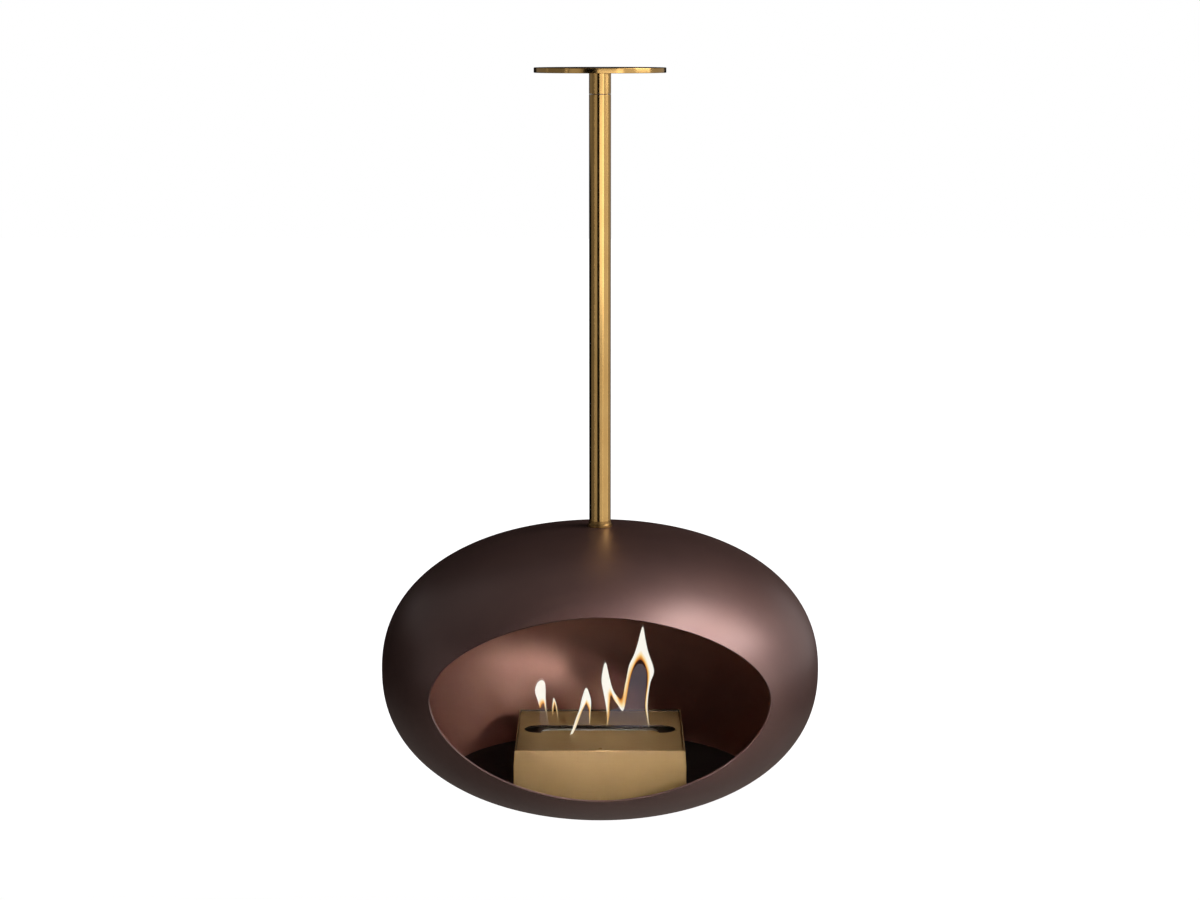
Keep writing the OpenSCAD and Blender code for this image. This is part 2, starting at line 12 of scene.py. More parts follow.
import bmesh
import bpy
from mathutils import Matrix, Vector


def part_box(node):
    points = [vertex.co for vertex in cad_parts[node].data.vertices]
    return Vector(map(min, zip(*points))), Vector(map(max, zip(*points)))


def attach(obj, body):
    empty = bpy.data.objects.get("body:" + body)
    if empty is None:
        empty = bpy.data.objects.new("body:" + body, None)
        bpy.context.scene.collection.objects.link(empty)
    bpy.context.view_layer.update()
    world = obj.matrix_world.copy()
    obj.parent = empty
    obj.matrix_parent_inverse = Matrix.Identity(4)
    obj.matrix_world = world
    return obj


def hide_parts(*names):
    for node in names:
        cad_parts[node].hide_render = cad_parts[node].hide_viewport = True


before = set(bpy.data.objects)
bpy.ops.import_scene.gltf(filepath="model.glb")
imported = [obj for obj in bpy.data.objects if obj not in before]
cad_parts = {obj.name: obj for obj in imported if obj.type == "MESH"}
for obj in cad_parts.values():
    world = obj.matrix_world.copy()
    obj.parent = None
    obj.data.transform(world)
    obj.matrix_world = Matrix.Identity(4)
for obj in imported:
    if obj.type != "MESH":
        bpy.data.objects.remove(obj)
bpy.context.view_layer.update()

MM = 0.001


# ---- Sizes that the CAD nodes give ----


def low(node):
    """Lowest corner of a CAD node, in millimetres."""
    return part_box(node)[0] / MM


def high(node):
    """Highest corner of a CAD node, in millimetres."""
    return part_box(node)[1] / MM


plate_r = high("ceiling_plate").x
plate_foot = low("ceiling_plate").z
pole_r = high("pole_tube").x
pole_top = high("pole_tube").z
pole_foot = low("pole_tube").z
sleeve_foot = low("swivel_sleeve").z
collar_r = high("base_collar").x
collar_top = high("base_collar").z
cap_r = high("dust_cap").x
cap_foot = low("dust_cap").z
bowl_a = high("bowl_shell").x
bowl_foot = low("bowl_shell").z
bowl_b = (pole_foot - bowl_foot) / 2
bowl_z = (pole_foot + bowl_foot) / 2
floor_foot = low("floor_plate").z
floor_top = high("floor_plate").z
floor_r = high("floor_plate").x
casing_low = low("burner_casing")
casing_high = high("burner_casing")
burner_plate_low = low("burner_plate")
burner_plate_high = high("burner_plate")
damper_low = low("damper_plate")
damper_high = high("damper_plate")
lid_low = low("tank_lid")
lid_high = high("tank_lid")
wool_low = low("ceramic_wool")
wool_high = high("ceramic_wool")

# Sizes that a node's box doesn't give. The bowl and its mouth are superellipses.
BOWL_EXPONENT = 2.22
BOWL_WALL = 2.5
MOUTH_W = 486
MOUTH_H = 265
MOUTH_EXPONENT = 1.85
MOUTH_DROP = 1
BOLT_HOLE_R = 8.5

# Pole, collar, sleeve and ceiling plate
POLE_WALL = 2
COLLAR_LIP = 0.4
COLLAR_RIM = 3
SLEEVE_CAVITY_R = 12.8
SLEEVE_FOOT_BORE_R = 9.87
SLEEVE_SPIGOT_R = 15
SLEEVE_SHOULDER_T = 6
PLATE_HOLE_RING_R = 75
PLATE_HOLE_R = 3.3
PLATE_HOLES = 4
SEAT_GAP = 0.02

# Burner
CASING_WALL = 2
CASING_LEAN = 1.8
CASING_LEAN_H = 24
SLOT_L = 226
SLOT_W = 47
SLOT_Y = 12
LIFT_HOLE_R = 3.5
LIFT_HOLE_Y = -102.5
FIRE_SLOT_L = 176
FIRE_SLOT_W = 22
FIRE_Y = 30
HOOK_HOLE_R = 3
HOOK_HOLE_Y = -4
DAMPER_CORNER_R = 20
WOOL_INSET = Vector((2.0, 2.0, 1.2))
WOOL_ROUND = 4
WOOL_LUMP_W = 14
WOOL_LUMP_H = 2.2

# Floor plate with the burner's cut-out and the hand bay, and its screws
CUTOUT_GAP = 2
BAY_R = 110
BAY_Y = -62
FLOOR_EDGE_RISE = 1.2
CRADLE_SCREW_X = 100
CRADLE_SCREW_Y = 140
SCREW_D = 5
SCREW_TIP = 0.6
SCREW_HOLE_R = 2.8
SCREW_HEAD_D = 9.5
SCREW_HEAD_H = 2.8
# The head's round edge, as shares of its radius and heights over its seat
SCREW_HEAD_ROUND = ((1, 0.7), (0.93, 1.6), (0.8, 2.35), (0.6, SCREW_HEAD_H))
SOCKET_WIDTH = 3
FLOOR_SCREW_RING_R = high("floor_screws").y - SCREW_HEAD_D / 2
FLOOR_SCREW_ANGLES = (90, 215, 325)

# How far a cutter runs past the faces that it cuts, and how far a tapered one does
PAST = 1
SKIM = 0.01
# Verts nearer than this, in metres, are one
MERGE_GAP = 1e-6
# Edges that turn by more than this many degrees are rounded
SHARP_ANGLE = 35


# ---- Materials ----

# Metal flake, grind marks and turning marks are finer than a pixel on the real object,
# so their patterns are drawn about ten times as coarse, which lets them show.

# Span of a mask, for spread
MASK = (0, 1)
# Depth under the casing's rim of the point that the recess's faces look at
RECESS_MIDDLE = 30


def linear(hex_colour):
    """An sRGB hex colour as linear RGBA."""
    parts = [int(hex_colour[i : i + 2], 16) / 255 for i in (1, 3, 5)]
    made = [p / 12.92 if p <= 0.04045 else ((p + 0.055) / 1.055) ** 2.4 for p in parts]
    return (*made, 1.0)


def per_mm(size):
    """Scale of a pattern on Object coordinates whose features are size millimetres apart."""
    return 1 / (size * MM)


def add(tree, kind, inputs=None, stops=None, **settings):
    """Adds a node. inputs maps a socket to a value or to the socket that feeds it, and
    stops gives a ramp's positions and colours."""
    made = tree.nodes.new(kind)
    for name, value in settings.items():
        setattr(made, name, value)
    for name, value in (inputs or {}).items():
        socket = made.inputs[name]
        if isinstance(value, bpy.types.NodeSocket):
            tree.links.new(value, socket)
        else:
            socket.default_value = value
    if stops:
        elements = made.color_ramp.elements
        while len(elements) < len(stops):
            elements.new(1.0)
        for element, (position, colour) in zip(elements, stops):
            element.position = position
            element.color = colour
    return made


def new_material(name):
    """An empty material and its node tree."""
    made = bpy.data.materials.new(name)
    made.use_nodes = True
    made.node_tree.nodes.clear()
    return made, made.node_tree


def finish_material(tree, surface):
    """Joins a shader to the material's output."""
    add(tree, "ShaderNodeOutputMaterial", {"Surface": surface})


def surface_pattern(tree, size, stretch=(1, 1, 1), detail=3.0):
    """Noise on Object coordinates with features size millimetres apart, drawn out along an
    axis where stretch is under 1."""
    place = add(tree, "ShaderNodeTexCoord").outputs["Object"]
    drawn = add(tree, "ShaderNodeMapping", {"Vector": place, "Scale": stretch})
    noise = add(
        tree,
        "ShaderNodeTexNoise",
        {"Vector": drawn.outputs["Vector"], "Scale": per_mm(size), "Detail": detail},
    )
    return noise.outputs["Fac"]


def spread(tree, pattern, low_value, high_value, span=(0.3, 0.7)):
    """Maps a pattern onto a range. The span is the middle of a noise, or 0 to 1 of a mask."""
    made = add(
        tree,
        "ShaderNodeMapRange",
        {
            "Value": pattern,
            "From Min": span[0],
            "From Max": span[1],
            "To Min": low_value,
            "To Max": high_value,
        },
    )
    return made.outputs["Result"]


def two_tones(tree, pattern, dark, light):
    """Colour that a pattern moves between two sRGB tones."""
    made = add(
        tree,
        "ShaderNodeMix",
        {"Factor": pattern, "A": linear(dark), "B": linear(light)},
        data_type="RGBA",
    )
    return made.outputs["Result"]


def relief(tree, pattern, depth, strength):
    """Bump from a pattern that is depth millimetres deep."""
    made = add(
        tree,
        "ShaderNodeBump",
        {"Height": pattern, "Distance": depth * MM, "Strength": strength},
    )
    return made.outputs["Normal"]


def inner_face(tree, height):
    """1 where the surface faces the pole's axis at a height in mm, 0 elsewhere."""
    place = add(tree, "ShaderNodeTexCoord")
    outward = add(
        tree,
        "ShaderNodeVectorMath",
        {0: place.outputs["Object"], 1: (0, 0, height * MM)},
        operation="SUBTRACT",
    )
    along = add(
        tree,
        "ShaderNodeVectorMath",
        {0: outward.outputs["Vector"], 1: place.outputs["Normal"]},
        operation="DOT_PRODUCT",
    )
    made = add(
        tree, "ShaderNodeMath", {0: along.outputs["Value"], 1: 0.0}, operation="LESS_THAN"
    )
    return made.outputs["Value"]


def mocha_powder_coat():
    """Powder coat with metal flake, sprayed and baked on steel: a satin skin with a broad
    soft shine, fine orange peel and a faint sparkle. On the bowl's inner face the same coat
    is painted lighter and warmer, as painted light, and is duller."""
    made, tree = new_material("mocha_powder_coat")
    cloud = spread(tree, surface_pattern(tree, 70), 0.0, 1.0)
    flake = surface_pattern(tree, 0.9, detail=2.0)
    peel = surface_pattern(tree, 1.8)
    inner = inner_face(tree, bowl_z)
    colour = add(
        tree,
        "ShaderNodeMix",
        {
            "Factor": inner,
            "A": two_tones(tree, cloud, "#795751", "#805d56"),
            # painted light: the inner face takes a lighter, warmer copy of the coat's colour
            "B": two_tones(tree, cloud, "#966c5d", "#9e7363"),
        },
        data_type="RGBA",
    )
    roughness = add(
        tree,
        "ShaderNodeMath",
        {0: spread(tree, flake, 0.44, 0.5), 1: spread(tree, inner, 0.0, 0.06, MASK)},
        operation="ADD",
    )
    shader = add(
        tree,
        "ShaderNodeBsdfPrincipled",
        {
            "Base Color": colour.outputs["Result"],
            "Metallic": spread(tree, inner, 0.86, 0.6, MASK),
            "Roughness": roughness.outputs["Value"],
            "Coat Weight": spread(tree, inner, 0.7, 0.0, MASK),
            "Coat Roughness": 0.36,
            "Coat IOR": 1.65,
            "Normal": relief(tree, peel, 0.03, 0.35),
        },
    )
    finish_material(tree, shader.outputs["BSDF"])
    return made


def polished_brass():
    """Brass drawn, polished and lacquered: a bright mirror with faint marks along the
    length and a slightly uneven lacquer."""
    made, tree = new_material("polished_brass")
    cloud = spread(tree, surface_pattern(tree, 45), 0.0, 1.0)
    marks = surface_pattern(tree, 1.2, stretch=(1, 1, 0.02))
    shader = add(
        tree,
        "ShaderNodeBsdfPrincipled",
        {
            "Base Color": two_tones(tree, cloud, "#d3a765", "#dbb06d"),
            "Metallic": 1.0,
            "Roughness": spread(tree, marks, 0.13, 0.17),
            "Normal": relief(tree, marks, 0.004, 0.05),
        },
    )
    finish_material(tree, shader.outputs["BSDF"])
    return made


def satin_brass():
    """Brass sheet with a fine satin grind: dull gold with short marks along its width. The
    faces that line the burner's recess are painted dark brown, as painted shade."""
    made, tree = new_material("satin_brass")
    cloud = spread(tree, surface_pattern(tree, 60), 0.0, 1.0)
    marks = surface_pattern(tree, 0.8, stretch=(0.04, 1, 1))
    colour = add(
        tree,
        "ShaderNodeMix",
        {
            "Factor": inner_face(tree, casing_high.z - RECESS_MIDDLE),
            "A": two_tones(tree, cloud, "#ae8d5c", "#b59462"),
            # painted shade: the faces that line the recess are dark brown
            "B": two_tones(tree, cloud, "#33261a", "#3d2e1f"),
        },
        data_type="RGBA",
    )
    shader = add(
        tree,
        "ShaderNodeBsdfPrincipled",
        {
            "Base Color": colour.outputs["Result"],
            "Metallic": 0.5,
            "Roughness": spread(tree, marks, 0.4, 0.5),
            "Normal": relief(tree, marks, 0.01, 0.2),
        },
    )
    finish_material(tree, shader.outputs["BSDF"])
    return made


def stove_black():
    """Heat-proof stove paint on steel: matt, almost black and slightly grainy."""
    made, tree = new_material("stove_black")
    grain = surface_pattern(tree, 0.7)
    cloud = spread(tree, surface_pattern(tree, 40), 0, 1)
    shader = add(
        tree,
        "ShaderNodeBsdfPrincipled",
        {
            "Base Color": two_tones(tree, cloud, "#1b1311", "#211816"),
            "Roughness": spread(tree, grain, 0.55, 0.7),
            "Specular IOR Level": 0.25,
            "Normal": relief(tree, grain, 0.03, 0.4),
        },
    )
    finish_material(tree, shader.outputs["BSDF"])
    return made


def metal(name, dark, light, roughness, mark_size, stretch=(1, 1, 1)):
    """A bare metal with marks of its own scale, for the pieces inside."""
    made, tree = new_material(name)
    marks = surface_pattern(tree, mark_size, stretch=stretch)
    shader = add(
        tree,
        "ShaderNodeBsdfPrincipled",
        {
            "Base Color": two_tones(tree, spread(tree, marks, 0, 1), dark, light),
            "Metallic": 1.0,
            "Roughness": spread(tree, marks, roughness - 0.05, roughness + 0.07),
            "Normal": relief(tree, marks, 0.01, 0.2),
        },
    )
    finish_material(tree, shader.outputs["BSDF"])
    return made


def soft_fibre(name, dark, light, fibre, depth):
    """Mineral fibre, loose or pressed: dull and white with a tangled surface."""
    made, tree = new_material(name)
    tangle = surface_pattern(tree, fibre, detail=6.0)
    shader = add(
        tree,
        "ShaderNodeBsdfPrincipled",
        {
            "Base Color": two_tones(tree, spread(tree, tangle, 0, 1), dark, light),
            "Roughness": 0.95,
            "Sheen Weight": 0.2,
            "Normal": relief(tree, tangle, depth, 0.8),
        },
    )
    finish_material(tree, shader.outputs["BSDF"])
    return made


def moulded_grey():
    """Moulded grey nylon: even, matt and faintly grained."""
    made, tree = new_material("moulded_grey")
    grain = surface_pattern(tree, 0.5)
    shader = add(
        tree,
        "ShaderNodeBsdfPrincipled",
        {
            "Base Color": two_tones(tree, spread(tree, grain, 0, 1), "#7d818b", "#868a94"),
            "Roughness": 0.5,
            "Normal": relief(tree, grain, 0.02, 0.3),
        },
    )
    finish_material(tree, shader.outputs["BSDF"])
    return made


MOCHA = mocha_powder_coat()
BRASS = polished_brass()
SATIN_BRASS = satin_brass()
BLACK = stove_black()
# screws blackened in oil: dark, with a low gloss
SCREW_STEEL = metal("blackened_steel", "#2b2827", "#353130", 0.45, 1.5)
# zinc plated steel: pale grey with a fine crystal grain
ZINC = metal("zinc_plated_steel", "#a6a8ab", "#b4b6b9", 0.38, 2.0)
# ground bearing steel: bright, with turning marks
BEARING = metal("ground_bearing_steel", "#bcbec3", "#c8cace", 0.18, 0.8, (1, 1, 0.1))
# sintered bronze: brown gold and slightly porous
BRONZE = metal("sintered_bronze", "#a87a48", "#b5854f", 0.5, 0.6)
# turned brass: the same lacquer over fine rings left by the lathe
# painted shade: a darker tone than the pole's brass, which dims the collar's shine
TURNED_BRASS = metal("turned_brass", "#977445", "#a17d4c", 0.34, 0.6, (0.1, 0.1, 1))
# dull stainless sheet, painted dark brown as painted shade under the burner plate
STAINLESS = metal("stainless_painted_dark", "#4f4338", "#615346", 0.42, 1.0, (0.05, 1, 1))
# ceramic wool: white loose fibre in tangled tufts
WOOL = soft_fibre("ceramic_wool_fibre", "#d8d4cb", "#efece5", 1.5, 0.6)
# pressed fibre board: off-white, with an even felted face
BOARD = soft_fibre("pressed_fibre_board", "#cfc8ba", "#dcd6c9", 1.0, 0.2)
GREY = moulded_grey()

# CAD nodes that keep their own mesh and take only a finish
NODE_FINISH = {
    "guide_bush": BRONZE,
    "bearing_lower_race": BEARING,
    "bearing_balls": BEARING,
    "bearing_upper_race": BEARING,
    "swivel_spindle": BEARING,
    "pole_top_plug": ZINC,
    "pole_bottom_plug": ZINC,
    "hub_plate": BLACK,
    "bowl_washer": ZINC,
    "bowl_bolt": ZINC,
    "floor_lugs": BLACK,
    "cradle_strips": BLACK,
    "cradle_nuts": ZINC,
    "plate_ledges": SATIN_BRASS,
    "tank_pads": BOARD,
    "fuel_tank": STAINLESS,
    "damper_rails": STAINLESS,
}
for node_name, finish in NODE_FINISH.items():
    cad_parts[node_name].material_slots[0].material = finish


# ---- Ways of working ----


def select_only(piece):
    """Leaves one object selected and active."""
    bpy.ops.object.select_all(action="DESELECT")
    piece.select_set(True)
    bpy.context.view_layer.objects.active = piece


def named(name, material=None):
    """Names the object that was just added, and gives it its material."""
    piece = bpy.context.object
    piece.name = name
    piece.data.name = name
    if material:
        piece.data.materials.append(material)
    return piece


@contextmanager
def editing(piece):
    """Edit mode on one piece, with verts as what is selected."""
    select_only(piece)
    bpy.ops.object.mode_set(mode="EDIT")
    bpy.ops.mesh.select_mode(type="VERT")
    yield
    bpy.ops.object.mode_set(mode="OBJECT")


def pick(piece, kind, wanted):
    """Selects only the verts, edges or faces of a piece in edit mode that pass a test."""
    shape = bmesh.from_edit_mesh(piece.data)
    bpy.ops.mesh.select_mode(type=kind)
    bpy.ops.mesh.select_all(action="DESELECT")
    for item in {"VERT": shape.verts, "EDGE": shape.edges, "FACE": shape.faces}[kind]:
        if wanted(item):
            item.select = True
    shape.select_flush_mode()
    bmesh.update_edit_mesh(piece.data)


def middle(item):
    """Middle of an edge or face, in millimetres."""
    return sum((v.co for v in item.verts), Vector()) / len(item.verts) / MM


def upright(edge):
    """True for an edge that runs along Z."""
    along = edge.verts[0].co - edge.verts[1].co
    return abs(along.z) > 0.99 * along.length


def apply_modifier(piece, kind, **settings):
    """Adds a modifier and applies it."""
    select_only(piece)
    made = piece.modifiers.new(kind.lower(), kind)
    for name, value in settings.items():
        setattr(made, name, value)
    bpy.ops.object.modifier_apply(modifier=made.name)


def cut(piece, cutter):
    """Cuts a cutter's shape out of a piece and removes the cutter."""
    apply_modifier(piece, "BOOLEAN", operation="DIFFERENCE", object=cutter, solver="EXACT")
    bpy.data.objects.remove(cutter)


def ease_edges(piece, width, segments=3):
    """Rounds a piece's sharp edges by a width in millimetres."""
    apply_modifier(
        piece,
        "BEVEL",
        width=width * MM,
        segments=segments,
        limit_method="ANGLE",
        angle_limit=math.radians(SHARP_ANGLE),
    )


def smooth(piece, angle=30):
    """Smooth shading with sharp edges kept, led by the large faces, so that these stay
    true beside their rounded edges."""
    select_only(piece)
    bpy.ops.object.shade_smooth_by_angle(angle=math.radians(angle))
    apply_modifier(piece, "WEIGHTED_NORMAL", keep_sharp=True, weight=100)


def block(name, low_corner, high_corner, material=None):
    """A block between two corners, with its place in its mesh."""
    size = [(b - a) * MM for a, b in zip(low_corner, high_corner)]
    place = [(a + b) / 2 * MM for a, b in zip(low_corner, high_corner)]
    bpy.ops.object.select_all(action="DESELECT")
    bpy.ops.mesh.primitive_cube_add(size=1, location=place)
    piece = named(name, material)
    piece.scale = size
    bpy.ops.object.transform_apply(location=True, rotation=False, scale=True)
    return piece


def disc(name, x, y, z_low, z_high, radius, corners=64, top_radius=None, material=None):
    """A round blank or cutter that stands on z_low."""
    bpy.ops.object.select_all(action="DESELECT")
    bpy.ops.mesh.primitive_cone_add(
        vertices=corners,
        radius1=radius * MM,
        radius2=(radius if top_radius is None else top_radius) * MM,
        depth=(z_high - z_low) * MM,
        location=(x * MM, y * MM, (z_low + z_high) / 2 * MM),
    )
    piece = named(name, material)
    bpy.ops.object.transform_apply(location=True, rotation=False, scale=False)
    return piece


def slot_cutter(y, length, width, z_low, z_high):
    """A block with rounded upright edges, which cuts a slot with round ends along X."""
    cutter = block(
        "slot_cutter",
        (-length / 2, y - width / 2, z_low),
        (length / 2, y + width / 2, z_high),
    )
    with editing(cutter):
        pick(cutter, "EDGE", upright)
        bpy.ops.mesh.bevel(offset=(width / 2 - SKIM) * MM, segments=16)
    return cutter


def turn(name, outline, material, corners=128, closed=True):
    """Spins an outline of (radius, z) points round the Z axis, as on a lathe. A closed
    outline goes back to its first point, and an open one starts and ends on the axis."""
    bpy.ops.object.select_all(action="DESELECT")
    bpy.ops.mesh.primitive_plane_add(size=1)
    piece = named(name, material)
    with editing(piece):
        bpy.ops.mesh.merge(type="CENTER")
        ends = [Vector((outline[i][0], 0, outline[i][1])) * MM for i in (0, -1)]
        bpy.ops.transform.translate(value=ends[0])
        for before, after in zip(outline, outline[1:]):
            step = Vector((after[0] - before[0], 0, after[1] - before[1])) * MM
            bpy.ops.mesh.extrude_region_move(TRANSFORM_OT_translate={"value": step})
        if closed:
            pick(
                piece,
                "VERT",
                lambda v: min((v.co - end).length for end in ends) < MERGE_GAP,
            )
            bpy.ops.mesh.edge_face_add()
        bpy.ops.mesh.select_all(action="SELECT")
        bpy.ops.mesh.spin(
            steps=corners, angle=math.tau, center=(0, 0, 0), axis=(0, 0, 1)
        )
        bpy.ops.mesh.select_all(action="SELECT")
        bpy.ops.mesh.remove_doubles(threshold=MERGE_GAP)
        bpy.ops.mesh.normals_make_consistent(inside=False)
    return piece


def stands_for(piece, body, slot, *nodes):
    """The piece rides on a body and stands for CAD nodes. Its slot is not used."""
    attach(piece, body)
    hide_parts(*nodes)


# ---- Ceiling plate, cap and sleeve ----


def model_ceiling_plate():
    """Turned plate with eased edges and countersunk holes for the ceiling screws."""
    piece = turn(
        "ceiling_plate_turned",
        [
            (SLEEVE_SPIGOT_R + SEAT_GAP, plate_foot),
            (plate_r, plate_foot),
            (plate_r, 0),
            (cap_r + SEAT_GAP, 0),
            (cap_r + SEAT_GAP, cap_foot),
            (SLEEVE_SPIGOT_R + SEAT_GAP, cap_foot),
        ],
        BRASS,
        corners=256,
    )
    ease_edges(piece, 0.8, segments=4)
    for i in range(PLATE_HOLES):
        angle = math.tau * (i + 0.5) / PLATE_HOLES
        x, y = PLATE_HOLE_RING_R * math.cos(angle), PLATE_HOLE_RING_R * math.sin(angle)
        cut(piece, disc("drill", x, y, plate_foot - PAST, PAST, PLATE_HOLE_R))
        sink_foot, sink_top = plate_foot - SKIM, plate_foot + PLATE_HOLE_R
        sink = disc(
            "countersink",
            x,
            y,
            sink_foot,
            sink_top,
            2 * PLATE_HOLE_R,
            top_radius=PLATE_HOLE_R,
        )
        cut(piece, sink)
    smooth(piece)
    stands_for(piece, "ceiling_mount", "polished_brass", "ceiling_plate")


def model_dust_cap():
    """Moulded cap with an eased rim, flush in the plate."""
    piece = turn(
        "dust_cap_moulded",
        [(0, cap_foot), (cap_r, cap_foot), (cap_r, 0), (0, 0)],
        GREY,
        corners=96,
        closed=False,
    )
    ease_edges(piece, 0.3)
    smooth(piece)
    stands_for(piece, "ceiling_mount", "grey_cap", "dust_cap")


def model_sleeve():
    """Turned sleeve: spigot, cavity for the bearing and a shoulder at its foot."""
    piece = turn(
        "swivel_sleeve_turned",
        [
            (SLEEVE_FOOT_BORE_R, sleeve_foot),
            (pole_r, sleeve_foot),
            (pole_r, plate_foot),
            (SLEEVE_SPIGOT_R, plate_foot),
            (SLEEVE_SPIGOT_R, cap_foot),
            (SLEEVE_CAVITY_R, cap_foot),
            (SLEEVE_CAVITY_R, sleeve_foot + SLEEVE_SHOULDER_T),
            (SLEEVE_FOOT_BORE_R, sleeve_foot + SLEEVE_SHOULDER_T),
        ],
        BRASS,
    )
    ease_edges(piece, 0.35)
    smooth(piece)
    stands_for(piece, "ceiling_mount", "polished_brass", "swivel_sleeve")


# ---- Pole and collar ----

COVE_STEPS = 8


def model_pole():
    """Drawn tube with eased ends."""
    bore = pole_r - POLE_WALL
    piece = turn(
        "pole_tube_drawn",
        [(bore, pole_foot), (pole_r, pole_foot), (pole_r, pole_top), (bore, pole_top)],
        BRASS,
    )
    ease_edges(piece, 0.4)
    smooth(piece)
    stands_for(piece, "hanging_bowl", "polished_brass", "pole_tube")


def model_collar():
    """Turned collar: a rim, and a hollow curve up to a thin lip round the pole."""
    inner = pole_r + SEAT_GAP
    top_r = inner + COLLAR_LIP
    cove_w = collar_r - top_r
    rim_top = pole_foot + COLLAR_RIM
    cove_h = collar_top - rim_top
    cove = [
        (
            collar_r - cove_w * math.sin(math.pi / 2 * i / COVE_STEPS),
            rim_top + cove_h * (1 - math.cos(math.pi / 2 * i / COVE_STEPS)),
        )
        for i in range(1, COVE_STEPS + 1)
    ]
    foot = [(inner, pole_foot), (collar_r, pole_foot), (collar_r, rim_top)]
    piece = turn("base_collar_turned", [*foot, *cove, (inner, collar_top)], TURNED_BRASS)
    ease_edges(piece, 0.3)
    smooth(piece)
    stands_for(piece, "hanging_bowl", "polished_brass", "base_collar")


# ---- Bowl ----

BOWL_CORNERS = 240
BOWL_RINGS = 84
# Halvings of an interval that bring its ends together
HALVINGS = 40


def bowl_radius(z):
    """Radius of the bowl at a height above its middle."""
    share = min(1.0, abs(z) / bowl_b)
    return bowl_a * (1 - share**BOWL_EXPONENT) ** (1 / BOWL_EXPONENT)


def outline_reach(angle, half_w, half_h, exponent, drop=0.0):
    """Distance from the bowl's middle to a superellipse in the direction of an angle, seen
    from the front."""
    near, far = 0.0, 2 * bowl_a
    for _ in range(HALVINGS):
        reach = (near + far) / 2
        x = abs(reach * math.cos(angle)) / half_w
        z = abs(reach * math.sin(angle) + drop) / half_h
        if x**exponent + z**exponent < 1:
            near = reach
        else:
            far = reach
    return near


def on_bowl(angle, turned, bowl_reach):
    """Point on the bowl, from its front at turned 0 round to its back at turned pi."""
    reach = bowl_reach * math.sin(turned)
    x = reach * math.cos(angle)
    z = reach * math.sin(angle)
    depth = math.sqrt(max(0.0, bowl_radius(z) ** 2 - x * x))
    return Vector((x, -depth if turned < math.pi / 2 else depth, z + bowl_z)) * MM


def in_rings(shape, count):
    """The verts of a tube that was extruded ring by ring."""
    shape.verts.ensure_lookup_table()
    verts = list(shape.verts)
    return [verts[i : i + count] for i in range(0, len(verts), count)]


def model_bowl():
    """The bowl: its mouth's edge, extruded ring by ring round to the back and closed."""
    bpy.ops.object.select_all(action="DESELECT")
    bpy.ops.mesh.primitive_circle_add(
        vertices=BOWL_CORNERS, radius=1, rotation=(math.pi / 2, 0, 0)
    )
    piece = named("bowl_spun", MOCHA)
    bpy.ops.object.transform_apply(rotation=True)
    with editing(piece):
        bpy.ops.mesh.select_all(action="SELECT")
        for _ in range(BOWL_RINGS - 1):
            bpy.ops.mesh.extrude_region_move()
    # Each ring goes to its place between the mouth's edge and the back
    shape = bmesh.new()
    shape.from_mesh(piece.data)
    for ring_number, ring in enumerate(in_rings(shape, BOWL_CORNERS)):
        for vert in ring:
            angle = math.atan2(vert.co.z, vert.co.x)
            reach = outline_reach(angle, bowl_a, bowl_b, BOWL_EXPONENT)
            mouth = outline_reach(
                angle, MOUTH_W / 2, MOUTH_H / 2, MOUTH_EXPONENT, MOUTH_DROP
            )
            first = math.asin(mouth / reach)
            turned = first + (math.pi - first) * ring_number / BOWL_RINGS
            vert.co = on_bowl(angle, turned, reach)
    shape.to_mesh(piece.data)
    shape.free()
    # The last ring is closed to one vert, which is the bowl's rearmost point
    with editing(piece):
        pick(piece, "EDGE", lambda e: e.is_boundary and middle(e).y > 0)
        bpy.ops.mesh.extrude_region_move()
        bpy.ops.mesh.merge(type="CENTER")
        pick(piece, "VERT", lambda v: len(v.link_edges) == BOWL_CORNERS)
        back = next(v.co for v in bmesh.from_edit_mesh(piece.data).verts if v.select)
        bpy.ops.transform.translate(value=(0, bowl_a * MM - back.y, 0))
        bpy.ops.mesh.select_all(action="SELECT")
        bpy.ops.mesh.normals_make_consistent(inside=False)
    apply_modifier(
        piece, "SOLIDIFY", thickness=BOWL_WALL * MM, offset=-1, use_even_offset=True
    )
    drill_low, drill_high = pole_foot - 8 * BOWL_WALL, pole_foot + 2 * BOWL_WALL
    cut(piece, disc("bolt_drill", 0, 0, drill_low, drill_high, BOLT_HOLE_R))
    ease_edges(piece, 0.5)
    smooth(piece, 40)
    stands_for(piece, "hanging_bowl", "mocha_coat", "bowl_shell")


# ---- Floor plate and screws ----


def floor_screw_places():
    """Places of the screws that hold the floor plate."""
    return [
        (
            FLOOR_SCREW_RING_R * math.cos(math.radians(angle)),
            FLOOR_SCREW_RING_R * math.sin(math.radians(angle)),
        )
        for angle in FLOOR_SCREW_ANGLES
    ]


def cradle_screw_places():
    """Places of the screws that hold the cradle strips."""
    return [
        (x, y)
        for x in (-CRADLE_SCREW_X, CRADLE_SCREW_X)
        for y in (-CRADLE_SCREW_Y, CRADLE_SCREW_Y)
    ]


